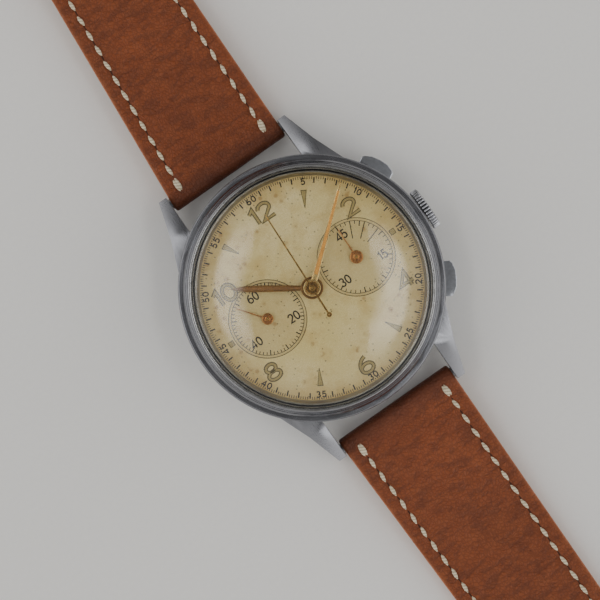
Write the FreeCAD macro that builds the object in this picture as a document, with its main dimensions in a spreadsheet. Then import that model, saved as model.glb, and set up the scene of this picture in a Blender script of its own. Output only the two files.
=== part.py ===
"""Two-counter chronograph wristwatch on a leather strap, in millimetres.

The origin is the centre of the case back's resting face, +Z goes up through the dial, +Y points to
twelve o'clock and +X to three o'clock. Every size is a cell of the sheet "Sizes"; sketches, pads and
solids are bound to those cells, and each sub-part is an object whose Label names its file.
"""
import FreeCAD, Part
import math
import os
import re
import Sketcher

V = FreeCAD.Vector
doc = FreeCAD.newDocument("ChronographWristwatch")
sheet = doc.addObject("Spreadsheet::Sheet", "Sizes")

# Driving sizes: millimetres, degrees where the name says angle, and plain counts for teeth.
SIZES = {
    "case": {
        "case_radius": 18.0, "wall_radius": 17.0, "wall_foot_radius": 16.6, "case_bore": 15.6,
        "case_bottom": 1.9, "wall_foot_top": 2.4, "wall_top": 5.4, "flange_bottom": 6.3, "flange_top": 7.3,
        "flange_edge": 0.2, "crystal_seat": 7.2, "lug_gap": 18.4, "lug_reach": 21.3, "lug_tip_width": 1.15,
        "lug_bend_x": 11.75, "lug_bend_y": 16.4, "lug_root_x": 13.55, "lug_root_y": 11.85,
        "lug_root_top": 7.0, "lug_shoulder_top": 6.5, "lug_tip_top": 4.3, "lug_root_bottom": 3.2,
        "lug_shoulder_bottom": 2.3, "lug_tip_bottom": 1.3, "lug_inner_x": 12.3, "lug_inner_y": 11.0,
    },
    "bezel": {
        "bezel_radius": 17.28, "bezel_lip": 16.0, "bezel_crest": 16.5, "bezel_top": 9.35,
        "bezel_rim_top": 8.0, "bezel_edge": 0.12, "lip_bottom": 7.85,
    },
    "crystal": {
        "crystal_foot_radius": 16.45, "crystal_thickness": 1.0, "crystal_wall": 0.43, "crystal_top": 12.6,
        "crystal_shoulder": 9.9, "crystal_gap": 0.03, "ring_inner": 15.0, "ring_top": 9.0, "ring_lip": 0.2,
    },
    "case_back": {
        "back_flat_radius": 13.0, "back_dish_radius": 15.2, "back_dish_height": 0.5, "back_edge_bottom": 1.4,
        "back_floor": 0.8, "snap_rim_inner": 15.0, "snap_rim_top": 2.75, "snap_gap": 0.05,
        "gasket_inner": 15.75, "gasket_outer": 16.3, "gasket_seat": 1.5, "gasket_gap": 0.05,
    },
    "dial": {
        "dial_radius": 15.4, "dial_bottom": 6.7, "dial_top": 7.1, "counter_offset": 7.2,
        "counter_radius": 5.15, "counter_depth": 0.12, "dial_pipe_gap": 0.15, "arbor_gap": 0.15,
    },
    "crown": {
        "stem_height": 4.4, "stem_radius": 0.6, "stem_start": 7.55, "crown_radius": 2.85, "crown_gap": 0.12,
        "crown_near": "=case_radius + crown_gap", "crown_length": 1.08,
        "crown_far": "=crown_near + crown_length", "crown_neck_radius": 1.7, "crown_neck_step": 0.07,
        "crown_neck_near": "=crown_near - crown_neck_step", "crown_flutes": 38,
        "crown_flute_depth": 0.16, "crown_edge": 0.22, "tube_inner": 0.65, "tube_outer": 1.0,
        "tube_end": 16.95, "running_gap": 0.05,
    },
    "pushers": {
        "push_height": 3.8, "push_width": 4.8, "push_depth": 2.6, "push_travel": 0.8, "push_gap": 0.1,
        "push_near": "=wall_radius + push_travel + push_gap", "push_side_length": 1.2, "push_bow": 0.5,
        "push_side": "=push_near + push_side_length", "push_crown": "=push_side + push_bow",
        "push_stem_radius": 0.6, "push_stem_start": 13.3, "start_angle": 27.0,
        "reset_angle": -31.0, "spring_room": 0.35, "spring_outer": "=push_stem_radius + spring_room",
        "spring_wire": 0.12, "spring_start": 15.9, "spring_seat_gap": 0.15,
        "spring_end": "=push_near - spring_seat_gap", "spring_turns": 5, "push_tube_end": 15.75,
        "push_tube_start": 14.35, "push_edge": 0.3,
    },
    "movement": {
        "movement_radius": 14.2, "plate_bottom": 4.9, "plate_top": 6.7, "bridge_bottom": 3.15,
        "bridge_top": 3.75, "bridge_radius": 11.5, "holder_inner": 14.3, "holder_bottom": 3.0,
        "holder_gap": 0.05, "cock_bottom": 1.9, "cock_top": 2.7, "pivot_radius": 0.2, "pivot_gap": 0.05,
        "screw_radius": 0.75, "screw_head": 0.35, "screw_shank": 0.35, "foot_radius": 0.6,
    },
    "train": {
        "barrel_x": 1.79, "barrel_y": 6.67, "third_x": -4.05, "third_y": -2.85, "escape_x": -8.4,
        "escape_y": -3.31, "pallet_x": -7.13, "pallet_y": -5.51, "balance_x": -5.35, "balance_y": -8.59,
        "barrel_teeth": 80, "barrel_module": 0.15, "centre_pinion_teeth": 12, "centre_teeth": 80,
        "centre_module": 0.11, "third_pinion_teeth": 10, "third_teeth": 75, "third_module": 0.1,
        "fourth_pinion_teeth": 10, "fourth_teeth": 80, "fourth_module": 0.08, "escape_pinion_teeth": 8,
        "escape_teeth": 15, "escape_radius": 2.2, "centre_arbor": 0.45, "arbor_bore": 0.3,
        "barrel_wall": 0.4, "spring_leaf": 0.2, "spring_pitch": 0.42, "balance_radius": 4.0,
        "balance_rim": 0.45, "hair_leaf": 0.06, "hair_pitch": 0.3,
    },
    "motion_work": {
        "cannon_teeth": 12, "minute_teeth": 36, "minute_module": 0.125, "minute_pinion_teeth": 10,
        "hour_teeth": 40, "hour_module": 0.12, "cannon_radius": 0.7, "hour_pipe_gap": 0.05,
        "hour_pipe_radius": 1.0, "minute_offset": 3.0,
    },
    "winding": {
        "crown_wheel_x": 8.09, "crown_wheel_y": 2.6, "crown_wheel_teeth": 24, "ratchet_teeth": 51,
        "winding_module": 0.2, "winding_bottom": 2.75, "winding_top": 3.05, "clutch_radius": 1.2,
        "pinion_start": 7.7, "pinion_length": 1.2, "clutch_start": 9.1, "clutch_length": 1.9,
        "click_x": -4.2, "click_y": 4.7,
    },
    "chronograph": {
        "runner_teeth": 120, "chrono_module": 0.05, "recorder_teeth": 45, "chrono_bottom": 1.9,
        "chrono_top": 2.1, "lever_bottom": 1.3, "lever_top": 1.7, "driver_teeth": 72,
        "coupling_teeth": 50, "coupling_x": -4.3, "coupling_y": 0.93, "coupling_pivot_x": -5.6,
        "coupling_pivot_y": 5.2, "column_x": 3.5, "column_y": 7.0, "column_radius": 1.8,
        "column_count": 6, "lever_arm": 3.5, "tab_gap": 0.12, "heart_radius": 0.75,
        "runner_arbor": 0.25, "recorder_arbor": 0.22,
    },
    "hands": {
        "hour_length": 11.5, "hour_waist": 0.62, "hour_belly": 0.87, "hour_boss": 1.5, "hour_z": 7.95,
        "minute_length": 14.4, "minute_root": 0.64, "minute_tip": 0.3, "minute_boss": 1.15, "minute_z": 8.5,
        "chrono_length": 11.6, "chrono_root": 0.22, "chrono_tip": 0.12, "chrono_tail": 4.2,
        "chrono_boss": 0.75, "chrono_z": 9.1, "pipe_top": 9.6, "small_length": 4.75, "small_boss": 0.78,
        "small_root": 0.26, "small_tip": 0.12, "small_z": 7.35, "counter_length": 4.6,
        "counter_boss": 0.9, "hand_thickness": 0.18, "small_thickness": 0.14, "tip_taper": 1.1,
        "hour_angle": 56.1, "minute_angle": -50.2, "chrono_angle": -2.2, "seconds_angle": 36.6,
        "counter_angle": -1.1, "disc_radius": 0.34,
    },
    "strap": {
        "bar_reach": 20.3, "bar_height": 2.7, "bar_radius": 0.75, "bar_tip_radius": 0.4,
        "bar_tip_reach": 0.8, "bar_hole_gap": 0.05, "eye_radius": 1.3, "strap_width": 18.0,
        "strap_end_width": 16.0, "strap_thickness": 2.2, "buckle_side_lift": 1.1, "settle_run": 20.0,
        "upper_lean": 0.045, "upper_lean_end": 60.0, "upper_taper_end": 52.0, "buckle_bar_run": 72.0,
        "lower_lean": 0.011, "lower_lean_end": 60.0, "lower_run": 115.0, "lower_taper_end": 80.0,
        "point_run": 8.0, "hole_first": 62.0, "hole_pitch": 6.5, "hole_count": 7, "hole_radius": 0.9,
    },
    "buckle": {
        "buckle_eye": 1.1, "buckle_bar": 0.6, "slot_half": 1.3, "slot_run": 3.8, "frame_half": 10.4,
        "frame_inner": 8.3, "frame_front": 7.6, "frame_depth": 2.2, "frame_back": 1.6,
        "frame_bar_width": 2.4, "tongue_half": 0.9, "tongue_ring": 1.05, "tongue_lift": 0.5,
        "tongue_thickness": 0.8, "front_drop": 0.75, "keeper_width": 5.0, "keeper_band": 0.95,
        "keeper_gap": 0.12, "keeper_inner_height": 4.7, "fixed_keeper_run": 62.0, "loose_keeper_run": 50.0,
        "keeper_floor": 0.0,
    },
}

NAMES = [name for group in SIZES.values() for name in group]
WORD = re.compile(r"\b(" + "|".join(sorted(NAMES, key=len, reverse=True)) + r")\b")


def fill_sheet():
    """Write every size into the sheet, one row each, with its name as the alias."""
    row = 0
    for group, sizes in SIZES.items():
        for name, value in sizes.items():
            row += 1
            sheet.set("A%d" % row, name)
            sheet.set("B%d" % row, str(value))
            sheet.set("C%d" % row, group)
            sheet.setAlias("B%d" % row, name)
    doc.recompute()


def bound(expression):
    """The expression with each size's name turned into a reference to its cell."""
    return WORD.sub(r"Sizes.\1", str(expression))


def size(expression):
    """The value of an expression in the sheet's names."""
    return float(sheet.evalExpression(bound(expression)))


# ---------------------------------------------------------------- building blocks
SUBPARTS = []


def subpart(label, thing):
    """Name a finished sub-part and put it on the list of pieces to write."""
    thing.Label = label
    SUBPARTS.append(thing)
    return thing


def moved_to(thing, x=0, y=0, z=0, rotation=None):
    """Turn an object and bind its position to the sheet."""
    thing.Placement = FreeCAD.Placement(V(size(x), size(y), size(z)), rotation or FreeCAD.Rotation())
    for axis, expression in zip("xyz", (x, y, z)):
        thing.setExpression("Placement.Base." + axis, bound(expression))
    return thing


def about_z(angle):
    return FreeCAD.Rotation(V(0, 0, 1), angle)


def outward(angle):
    """The turn that lays a piece's own +Z along the radius at this angle, with its +X straight up."""
    return about_z(angle) * FreeCAD.Rotation(V(0, 1, 0), 90)


def cylinder(name, radius, height, x=0, y=0, z=0, rotation=None):
    piece = doc.addObject("Part::Cylinder", name)
    piece.setExpression("Radius", bound(radius))
    piece.setExpression("Height", bound(height))
    return moved_to(piece, x, y, z, rotation)


def box(name, length, width, height, x=0, y=0, z=0, rotation=None):
    piece = doc.addObject("Part::Box", name)
    for side, expression in (("Length", length), ("Width", width), ("Height", height)):
        piece.setExpression(side, bound(expression))
    return moved_to(piece, x, y, z, rotation)


def fuse(name, pieces):
    whole = doc.addObject("Part::MultiFuse", name)
    whole.Shapes = pieces
    return whole


def cut(name, base, tools):
    whole = doc.addObject("Part::Cut", name)
    whole.Base = base
    whole.Tool = tools[0] if len(tools) == 1 else fuse(name + "Tools", tools)
    return whole


def common(name, base, tool):
    whole = doc.addObject("Part::Common", name)
    whole.Base = base
    whole.Tool = tool
    return whole


def shaped(name, shape, x=0, y=0, z=0, rotation=None):
    """A sub-part whose shape comes from a formula, such as teeth or a spiral."""
    piece = doc.addObject("Part::Feature", name)
    piece.Shape = shape
    return moved_to(piece, x, y, z, rotation)


def sketch_on(body, name, role):
    sketch = body.newObject("Sketcher::SketchObject", name)
    plane = next(f for f in body.Origin.OriginFeatures if f.Role == role)
    sketch.AttachmentSupport = [(plane, "")]
    sketch.MapMode = "FlatFace"
    return sketch


def pin_point(sketch, edge, point, x, y):
    """Bind a sketch point's two coordinates to the sheet."""
    for kind, expression, axis in (("DistanceX", x, -2), ("DistanceY", y, -1)):
        value = size(expression)
        if value == 0:
            sketch.addConstraint(Sketcher.Constraint("PointOnObject", edge, point, axis))
            continue
        index = sketch.addConstraint(Sketcher.Constraint(kind, -1, 1, edge, point, value))
        sketch.setExpression("Constraints[%d]" % index, bound(expression))


def add_loop(sketch, points):
    """Add a closed outline whose corners are pairs of expressions."""
    first = sketch.GeometryCount
    corners = [V(size(x), size(y), 0) for x, y in points]
    count = len(corners)
    sketch.addGeometry([Part.LineSegment(corners[i], corners[(i + 1) % count]) for i in range(count)])
    ends = [Sketcher.Constraint("Coincident", first + i, 2, first + (i + 1) % count, 1) for i in range(count)]
    sketch.addConstraint(ends)
    for i, (x, y) in enumerate(points):
        pin_point(sketch, first + i, 1, x, y)


def add_circle(sketch, x, y, radius):
    edge = sketch.addGeometry(Part.Circle(V(size(x), size(y), 0), V(0, 0, 1), size(radius)), False)
    pin_point(sketch, edge, 3, x, y)
    index = sketch.addConstraint(Sketcher.Constraint("Radius", edge, size(radius)))
    sketch.setExpression("Constraints[%d]" % index, bound(radius))


def turned_body(name, points):
    """A body turned about its own Z from a half section of (radius, height) corners."""
    body = doc.addObject("PartDesign::Body", name)
    section = sketch_on(body, name + "Section", "XZ_Plane")
    add_loop(section, points)
    turn = body.newObject("PartDesign::Revolution", name + "Turn")
    turn.Profile = section
    turn.ReferenceAxis = (section, ["V_Axis"])
    turn.Angle = 360
    return body


def pad_on(body, name, role, height, loops=(), circles=(), symmetric=False):
    """Pad a sketch of closed outlines and circles from one of the body's own planes."""
    sketch = sketch_on(body, name, role)
    for points in loops:
        add_loop(sketch, points)
    for x, y, radius in circles:
        add_circle(sketch, x, y, radius)
    pad = body.newObject("PartDesign::Pad", name + "Pad")
    pad.Profile = sketch
    pad.SideType = "Symmetric" if symmetric else "One side"
    pad.setExpression("Length", bound(height))
    return pad


def pocket_through(body, name, role, loops=(), circles=()):
    """Cut closed outlines and circles right through a body, both ways from its own plane."""
    sketch = sketch_on(body, name, role)
    for points in loops:
        add_loop(sketch, points)
    for x, y, radius in circles:
        add_circle(sketch, x, y, radius)
    pocket = body.newObject("PartDesign::Pocket", name + "Pocket")
    pocket.Profile = sketch
    pocket.Type = "ThroughAll"
    pocket.SideType = "Symmetric"
    return pocket


def padded_body(name, height, loops=(), circles=()):
    body = doc.addObject("PartDesign::Body", name)
    pad_on(body, name + "Outline", "XY_Plane", height, loops, circles)
    return body


# ---------------------------------------------------------------- toothed wheels
TIP_RISE = 0.8       # a tooth's height above the pitch circle, in modules
ROOT_DROP = 1.2      # the gap's depth below it
TIP_SHARE = 0.09     # half a tooth's width at the tip, the pitch circle and the root, in pitches
PITCH_SHARE = 0.2
ROOT_SHARE = 0.27


def polar(radius, angle):
    return V(radius * math.cos(angle), radius * math.sin(angle), 0)


def toothed(teeth, module, bottom, thickness, phase=0.0, windows=0, hub=0.0):
    """A toothed disc whose first tooth points at angle phase (degrees), with spoke windows if asked."""
    pitch_radius = teeth * module / 2
    pitch = 2 * math.pi / teeth
    profile = (
        (-ROOT_SHARE, pitch_radius - ROOT_DROP * module),
        (-PITCH_SHARE, pitch_radius),
        (-TIP_SHARE, pitch_radius + TIP_RISE * module),
        (TIP_SHARE, pitch_radius + TIP_RISE * module),
        (PITCH_SHARE, pitch_radius),
        (ROOT_SHARE, pitch_radius - ROOT_DROP * module),
    )
    rim = []
    for tooth in range(int(teeth)):
        middle = math.radians(phase) + tooth * pitch
        rim += [polar(radius, middle + share * pitch) for share, radius in profile]
    disc = Part.Face(Part.makePolygon(rim + rim[:1])).extrude(V(0, 0, thickness))
    disc.translate(V(0, 0, bottom))
    outer = pitch_radius - ROOT_DROP * module - 0.12 * pitch_radius
    for spoke in range(windows):
        disc = disc.cut(window(outer, hub, bottom, thickness, spoke * 360 / windows, 360 / windows))
    return disc


def window(outer, inner, bottom, thickness, angle, share):
    """The gap between two spokes of a wheel."""
    half = math.radians(share / 2 - 9)
    middle = math.radians(angle + share / 2)
    corners = [polar(outer, middle - half), polar(outer, middle), polar(outer, middle + half)]
    inner_corners = [polar(inner, middle + half), polar(inner, middle), polar(inner, middle - half)]
    edges = [
        Part.Arc(*corners).toShape(),
        Part.LineSegment(corners[-1], inner_corners[0]).toShape(),
        Part.Arc(*inner_corners).toShape(),
        Part.LineSegment(inner_corners[-1], corners[0]).toShape(),
    ]
    gap = Part.Face(Part.Wire(edges)).extrude(V(0, 0, thickness))
    gap.translate(V(0, 0, bottom))
    return gap


def rod(radius, bottom, top):
    return Part.makeCylinder(radius, top - bottom, V(0, 0, bottom))


def joined(solids, bores=()):
    """One solid from touching ones, less its bores."""
    whole = solids[0].fuse(list(solids[1:])) if len(solids) > 1 else solids[0]
    for bore in bores:
        whole = whole.cut(bore)
    return whole.removeSplitter()


def mesh_phase(phase, teeth, next_teeth, direction):
    """The angle of the next wheel's first tooth that meshes it with a wheel whose neighbour lies at direction."""
    share = ((direction - phase) * teeth / 360) % 1
    return direction + 180 - (0.5 - share) * 360 / next_teeth


def direction(from_x, from_y, to_x, to_y):
    return math.degrees(math.atan2(size(to_y) - size(from_y), size(to_x) - size(from_x)))


def spiral(inner, pitch, turns, leaf, bottom, height):
    """A flat strip wound in a spiral, as one solid."""
    steps = 20
    floor = V(0, 0, bottom)
    angles = [2 * math.pi * i / steps for i in range(int(turns * steps) + 1)]
    near = [polar(inner + pitch * a / (2 * math.pi), a) + floor for a in angles]
    far = [polar(inner + leaf + pitch * a / (2 * math.pi), a) + floor for a in angles]
    rim = far + near[::-1]
    return Part.Face(Part.makePolygon(rim + rim[:1])).extrude(V(0, 0, height))


# ---------------------------------------------------------------- case
def lug_outline(side, end):
    """One lug seen from above, its root sunk in the case wall."""
    corners = (
        ("lug_gap / 2", "sqrt(wall_foot_radius ^ 2 - (lug_gap / 2) ^ 2)"),
        ("lug_gap / 2", "lug_reach"),
        ("lug_gap / 2 + lug_tip_width", "lug_reach"),
        ("lug_bend_x", "lug_bend_y"),
        ("lug_root_x", "lug_root_y"),
        ("lug_inner_x", "lug_inner_y"),
    )
    return [("%d * (%s)" % (side, x), "%d * (%s)" % (end, y)) for x, y in corners]


def lug_trim(end, above):
    """What is cut away above or below the lugs of one end, seen from the side."""
    name = "top" if above else "bottom"
    outside = "lug_root_top + 5" if above else "-5"
    corners = (
        ("lug_inner_y - 2", "lug_root_" + name),
        ("lug_bend_y", "lug_shoulder_" + name),
        ("lug_reach + 1", "lug_tip_" + name),
        ("lug_reach + 1", outside),
        ("lug_inner_y - 2", outside),
    )
    return [("%d * (%s)" % (end, y), z) for y, z in corners]


def make_case_middle():
    body = doc.addObject("PartDesign::Body", "CaseMiddle")
    ends = [(side, end) for side in (1, -1) for end in (1, -1)]
    pad_on(body, "LugPlan", "XY_Plane", "lug_root_top", [lug_outline(side, end) for side, end in ends])
    pocket_through(body, "LugSide", "YZ_Plane", [lug_trim(end, above) for end in (1, -1) for above in (1, 0)])
    section = sketch_on(body, "CaseSection", "XZ_Plane")
    add_loop(section, (
        ("case_bore", "case_bottom"),
        ("wall_foot_radius", "case_bottom"),
        ("wall_radius", "wall_foot_top"),
        ("wall_radius", "wall_top"),
        ("case_radius", "flange_bottom"),
        ("case_radius", "flange_top"),
        ("case_radius - flange_edge", "flange_top + flange_edge"),
        ("bezel_crest", "flange_top + flange_edge"),
        ("bezel_crest", "crystal_seat"),
        ("case_bore", "crystal_seat"),
    ))
    turn = body.newObject("PartDesign::Revolution", "CaseTurn")
    turn.Profile = section
    turn.ReferenceAxis = (section, ["V_Axis"])
    turn.Angle = 360
    tools = [cylinder("StemHole", "tube_outer", "case_radius", z="stem_height", rotation=outward(0))]
    for name, angle in (("Start", "start_angle"), ("Reset", "reset_angle")):
        tools.append(cylinder(name + "Hole", "spring_outer + running_gap", "case_radius",
                              z="push_height", rotation=outward(size(angle))))
    for name, end in (("Upper", 1), ("Lower", -1)):
        reach = "lug_gap / 2 + bar_tip_reach + bar_hole_gap"
        tools.append(cylinder(name + "BarHole", "bar_tip_radius + bar_hole_gap", "2 * (%s)" % reach,
                              "-(%s)" % reach, "%d * bar_reach" % end, "bar_height", outward(0)))
    subpart("case_middle", cut("CaseDrilled", body, tools))


def make_bezel():
    top = "flange_top + flange_edge"
    subpart("bezel", turned_body("Bezel", (
        ("bezel_crest", top),
        ("bezel_radius", top),
        ("bezel_radius", "bezel_rim_top"),
        ("bezel_crest", "bezel_top - bezel_edge"),
        ("bezel_crest - bezel_edge", "bezel_top"),
        ("bezel_lip + bezel_edge", "bezel_top"),
        ("bezel_lip", "bezel_top - bezel_edge"),
        ("bezel_lip", "lip_bottom"),
        ("bezel_crest", "lip_bottom"),
    )))


def make_crystal():
    """A domed crystal: a spherical cap on a thin wall, with a foot that the bezel holds down."""
    wall = "(bezel_lip - crystal_gap)"
    rise = "(crystal_top - crystal_shoulder)"
    dome = "((%s ^ 2 + %s ^ 2) / (2 * %s))" % (wall, rise, rise)
    shells = []
    for name, shrink, radius in (("Outer", "0", wall), ("Inner", "crystal_thickness", wall + " - crystal_wall")):
        ball = doc.addObject("Part::Sphere", "Crystal" + name + "Ball")
        ball.setExpression("Radius", bound("%s - %s" % (dome, shrink)))
        moved_to(ball, z="crystal_top - %s" % dome)
        post = cylinder("Crystal" + name + "Post", radius, "crystal_top", z="crystal_seat")
        shells.append(common("Crystal" + name, post, ball))
    foot = cylinder("CrystalFoot", "crystal_foot_radius", "lip_bottom - crystal_seat - crystal_gap", z="crystal_seat")
    subpart("crystal", cut("CrystalShell", fuse("CrystalSolid", [shells[0], foot]), [shells[1]]))
    outer = "bezel_lip - 2 * crystal_gap - crystal_wall"
    subpart("crystal_ring", turned_body("CrystalRing", (
        ("ring_inner", "dial_top"),
        (outer, "dial_top"),
        (outer, "ring_top"),
        (outer + " - ring_lip", "ring_top"),
    )))


def make_case_back():
    subpart("case_back", turned_body("CaseBack", (
        ("0", "0"),
        ("back_flat_radius", "0"),
        ("back_dish_radius", "back_dish_height"),
        ("wall_foot_radius", "back_edge_bottom"),
        ("wall_foot_radius", "case_bottom"),
        ("gasket_outer + gasket_gap", "case_bottom"),
        ("gasket_outer + gasket_gap", "gasket_seat"),
        ("gasket_inner - gasket_gap", "gasket_seat"),
        ("gasket_inner - gasket_gap", "case_bottom"),
        ("case_bore - snap_gap", "case_bottom"),
        ("case_bore - snap_gap", "snap_rim_top"),
        ("snap_rim_inner", "snap_rim_top"),
        ("snap_rim_inner", "back_floor"),
        ("0", "back_floor"),
    )))
    ring = cylinder("GasketOuter", "gasket_outer", "case_bottom - gasket_seat", z="gasket_seat")
    bore = cylinder("GasketBore", "gasket_inner", "case_bottom - gasket_seat", z="gasket_seat")
    subpart("case_back_gasket", cut("Gasket", ring, [bore]))


def make_dial():
    disc = cylinder("DialDisc", "dial_radius", "dial_top - dial_bottom", z="dial_bottom")
    tools = [cylinder("DialCentre", "hour_pipe_radius + dial_pipe_gap", "dial_top", z="dial_bottom / 2")]
    for name, side, arbor in (("Left", -1, "pivot_radius"), ("Right", 1, "recorder_arbor")):
        x = "%d * counter_offset" % side
        tools.append(cylinder(name + "ArborHole", arbor + " + arbor_gap", "dial_top", x, z="dial_bottom / 2"))
        tools.append(cylinder(name + "Sink", "counter_radius", "counter_depth * 2", x, z="dial_top - counter_depth"))
    subpart("dial", cut("Dial", disc, tools))


def make_movement_ring():
    """The spacer that holds the movement in the case, notched for the stem and the push-piece stems."""
    radius = "case_bore - holder_gap"
    ring = cylinder("HolderOuter", radius, "dial_bottom - holder_bottom", z="holder_bottom")
    tools = [cylinder("HolderBore", "holder_inner", "dial_bottom", z="holder_bottom / 2")]
    tools.append(cylinder("HolderStem", "tube_outer + running_gap", "case_radius", z="stem_height", rotation=outward(0)))
    for name, angle in (("Start", "start_angle"), ("Reset", "reset_angle")):
        tools.append(cylinder("Holder" + name, "spring_outer + running_gap", "case_radius",
                              z="push_height", rotation=outward(size(angle))))
    subpart("movement_ring", cut("Holder", ring, tools))


# ---------------------------------------------------------------- crown and push-pieces
def make_crown():
    """The fluted crown, its stem and the tube that they turn in, all along +X."""
    flute_module = size("2 * crown_radius / crown_flutes")
    cap = toothed(size("crown_flutes"), flute_module, 0, size("crown_far - crown_near"))
    depth = size("crown_radius - crown_flute_depth")
    edge = size("crown_edge")
    length = size("crown_far - crown_near")
    full = size("crown_radius") + TIP_RISE * flute_module
    ends = Part.makeCone(full - edge, full, edge)
    ends = ends.fuse(Part.makeCylinder(full, length - 2 * edge, V(0, 0, edge)))
    ends = ends.fuse(Part.makeCone(full, full - edge, edge, V(0, 0, length - edge)))
    cap = cap.fuse(rod(depth, 0, length)).common(ends)
    neck = rod(size("crown_neck_radius"), size("crown_neck_near - crown_near"), 0)
    start = size("stem_start - crown_near")
    shape = joined([cap, neck])
    subpart("crown", shaped("Crown", shape, "crown_near", 0, "stem_height", outward(0)))
    stem = rod(size("stem_radius"), start, size("crown_neck_near - crown_near"))
    subpart("winding_stem", shaped("Stem", stem, "crown_near", 0, "stem_height", outward(0)))
    tube = cylinder("TubeOuter", "tube_outer", "tube_end - holder_inner", "holder_inner", 0, "stem_height", outward(0))
    bore = cylinder("TubeBore", "tube_inner", "case_radius", "holder_inner / 2", 0, "stem_height", outward(0))
    subpart("crown_tube", cut("CrownTube", tube, [bore]))


def push_piece(name, label, angle):
    """A rectangular push-piece on its stem, with a bowed outer face; its own +Z points outward."""
    body = doc.addObject("PartDesign::Body", name)
    outline = (
        ("-push_width / 2", "push_near"),
        ("push_width / 2", "push_near"),
        ("push_width / 2", "push_side - push_edge"),
        ("push_width / 2 - push_edge", "push_side"),
        ("push_width / 4", "push_crown - 0.25 * (push_crown - push_side)"),
        ("0", "push_crown"),
        ("-push_width / 4", "push_crown - 0.25 * (push_crown - push_side)"),
        ("push_edge - push_width / 2", "push_side"),
        ("-push_width / 2", "push_side - push_edge"),
    )
    pad_on(body, name + "Cap", "YZ_Plane", "push_depth", [outline], symmetric=True)
    stem_length = "push_near - push_stem_start"
    stem = cylinder(name + "Stem", "push_stem_radius", stem_length, z="push_stem_start")
    whole = fuse(name + "Whole", [body, stem])
    subpart(label, moved_to(whole, 0, 0, "push_height", outward(size(angle))))


def push_tube(name, angle):
    """The sleeve of a push-piece, at its inner end, that guides the stem and seats the spring."""
    length = "push_tube_end - push_tube_start"
    sleeve = Part.makeCylinder(size("spring_outer"), size(length), V(0, 0, size("push_tube_start")))
    bore = Part.makeCylinder(size("push_stem_radius + running_gap"), size("case_radius"))
    sleeve = sleeve.cut(bore)
    sleeve.Placement = FreeCAD.Placement(V(0, 0, size("push_height")), outward(size(angle)))
    return sleeve


def push_spring(name, label, angle):
    """A return spring: rings joined by short bars, wound round a push-piece's stem."""
    wire = size("spring_wire")
    inner = size("push_stem_radius + running_gap")
    outer = inner + 2 * wire
    turns = int(size("spring_turns"))
    start = size("spring_start")
    pitch = (size("spring_end") - start - wire) / turns
    solids = []
    for turn in range(turns + 1):
        ring = rod(outer, start + turn * pitch, start + turn * pitch + wire)
        solids.append(ring.cut(rod(inner, start, start + (turns + 1) * pitch)))
    for turn in range(turns):
        bar = Part.makeBox(wire, wire, pitch, V(inner + wire / 2, -wire / 2, start + turn * pitch))
        bar.rotate(V(0, 0, 0), V(0, 0, 1), 180 * (turn % 2))
        solids.append(bar)
    shape = joined(solids)
    subpart(label, shaped(name, shape, 0, 0, "push_height", outward(size(angle))))


def make_push_pieces():
    push_piece("StartPush", "start_pusher", "start_angle")
    push_piece("ResetPush", "reset_pusher", "reset_angle")
    tubes = [push_tube("Start", "start_angle"), push_tube("Reset", "reset_angle")]
    subpart("pusher_tubes", shaped("PushTubes", Part.makeCompound(tubes)))
    push_spring("StartSpring", "start_pusher_spring", "start_angle")
    push_spring("ResetSpring", "reset_pusher_spring", "reset_angle")


# ---------------------------------------------------------------- hands
def hand(label, name, outline, boss, bore, thickness, bottom, angle, x=0, disc=None):
    """A flat hand pointing to its own +Y, turned clockwise by -angle, with a round boss on its arbor."""
    body = padded_body(name + "Blade", thickness, [outline])
    ring = cylinder(name + "Boss", boss, thickness)
    pieces = [body, ring]
    if disc:
        pieces.append(cylinder(name + "Disc", disc[0], thickness, y=disc[1]))
    blade = fuse(name + "Solid", pieces)
    hole = cylinder(name + "Bore", bore, "4 * (%s)" % thickness, z="-(%s)" % thickness)
    whole = cut(name, blade, [hole])
    subpart(label, moved_to(whole, x, 0, bottom, about_z(size(angle))))


def tapered(root, tip, length, tail="0"):
    """A straight hand that narrows to a point."""
    return (
        ("-(%s) / 2" % root, "-(%s)" % tail),
        ("(%s) / 2" % root, "-(%s)" % tail),
        ("(%s) / 2" % tip, "%s - tip_taper" % length),
        ("0", length),
        ("-(%s) / 2" % tip, "%s - tip_taper" % length),
    )


def make_hands():
    leaf = (
        ("-hour_waist / 2", "0"),
        ("hour_waist / 2", "0"),
        ("hour_waist / 2", "0.2 * hour_length"),
        ("hour_belly / 2", "0.55 * hour_length"),
        ("0.4 * hour_belly", "0.75 * hour_length"),
        ("0", "hour_length"),
        ("-0.4 * hour_belly", "0.75 * hour_length"),
        ("-hour_belly / 2", "0.55 * hour_length"),
        ("-hour_waist / 2", "0.2 * hour_length"),
    )
    hand("hour_hand", "HourHand", leaf, "hour_boss", "hour_pipe_radius", "hand_thickness",
         "hour_z", "hour_angle")
    hand("minute_hand", "MinuteHand", tapered("minute_root", "minute_tip", "minute_length"), "minute_boss",
         "cannon_radius", "hand_thickness", "minute_z", "minute_angle")
    hand("chronograph_hand", "ChronoHand", tapered("chrono_root", "chrono_tip", "chrono_length", "chrono_tail"),
         "chrono_boss", "runner_arbor", "small_thickness", "chrono_z", "chrono_angle",
         disc=("disc_radius", "-chrono_tail"))
    hand("seconds_hand", "SecondsHand", tapered("small_root", "small_tip", "small_length"), "small_boss",
         "pivot_radius", "small_thickness", "small_z", "seconds_angle", x="-counter_offset")
    hand("minute_counter_hand", "CounterHand", tapered("small_root", "small_tip", "counter_length"),
         "counter_boss", "recorder_arbor", "small_thickness", "small_z", "counter_angle", x="counter_offset")


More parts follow.
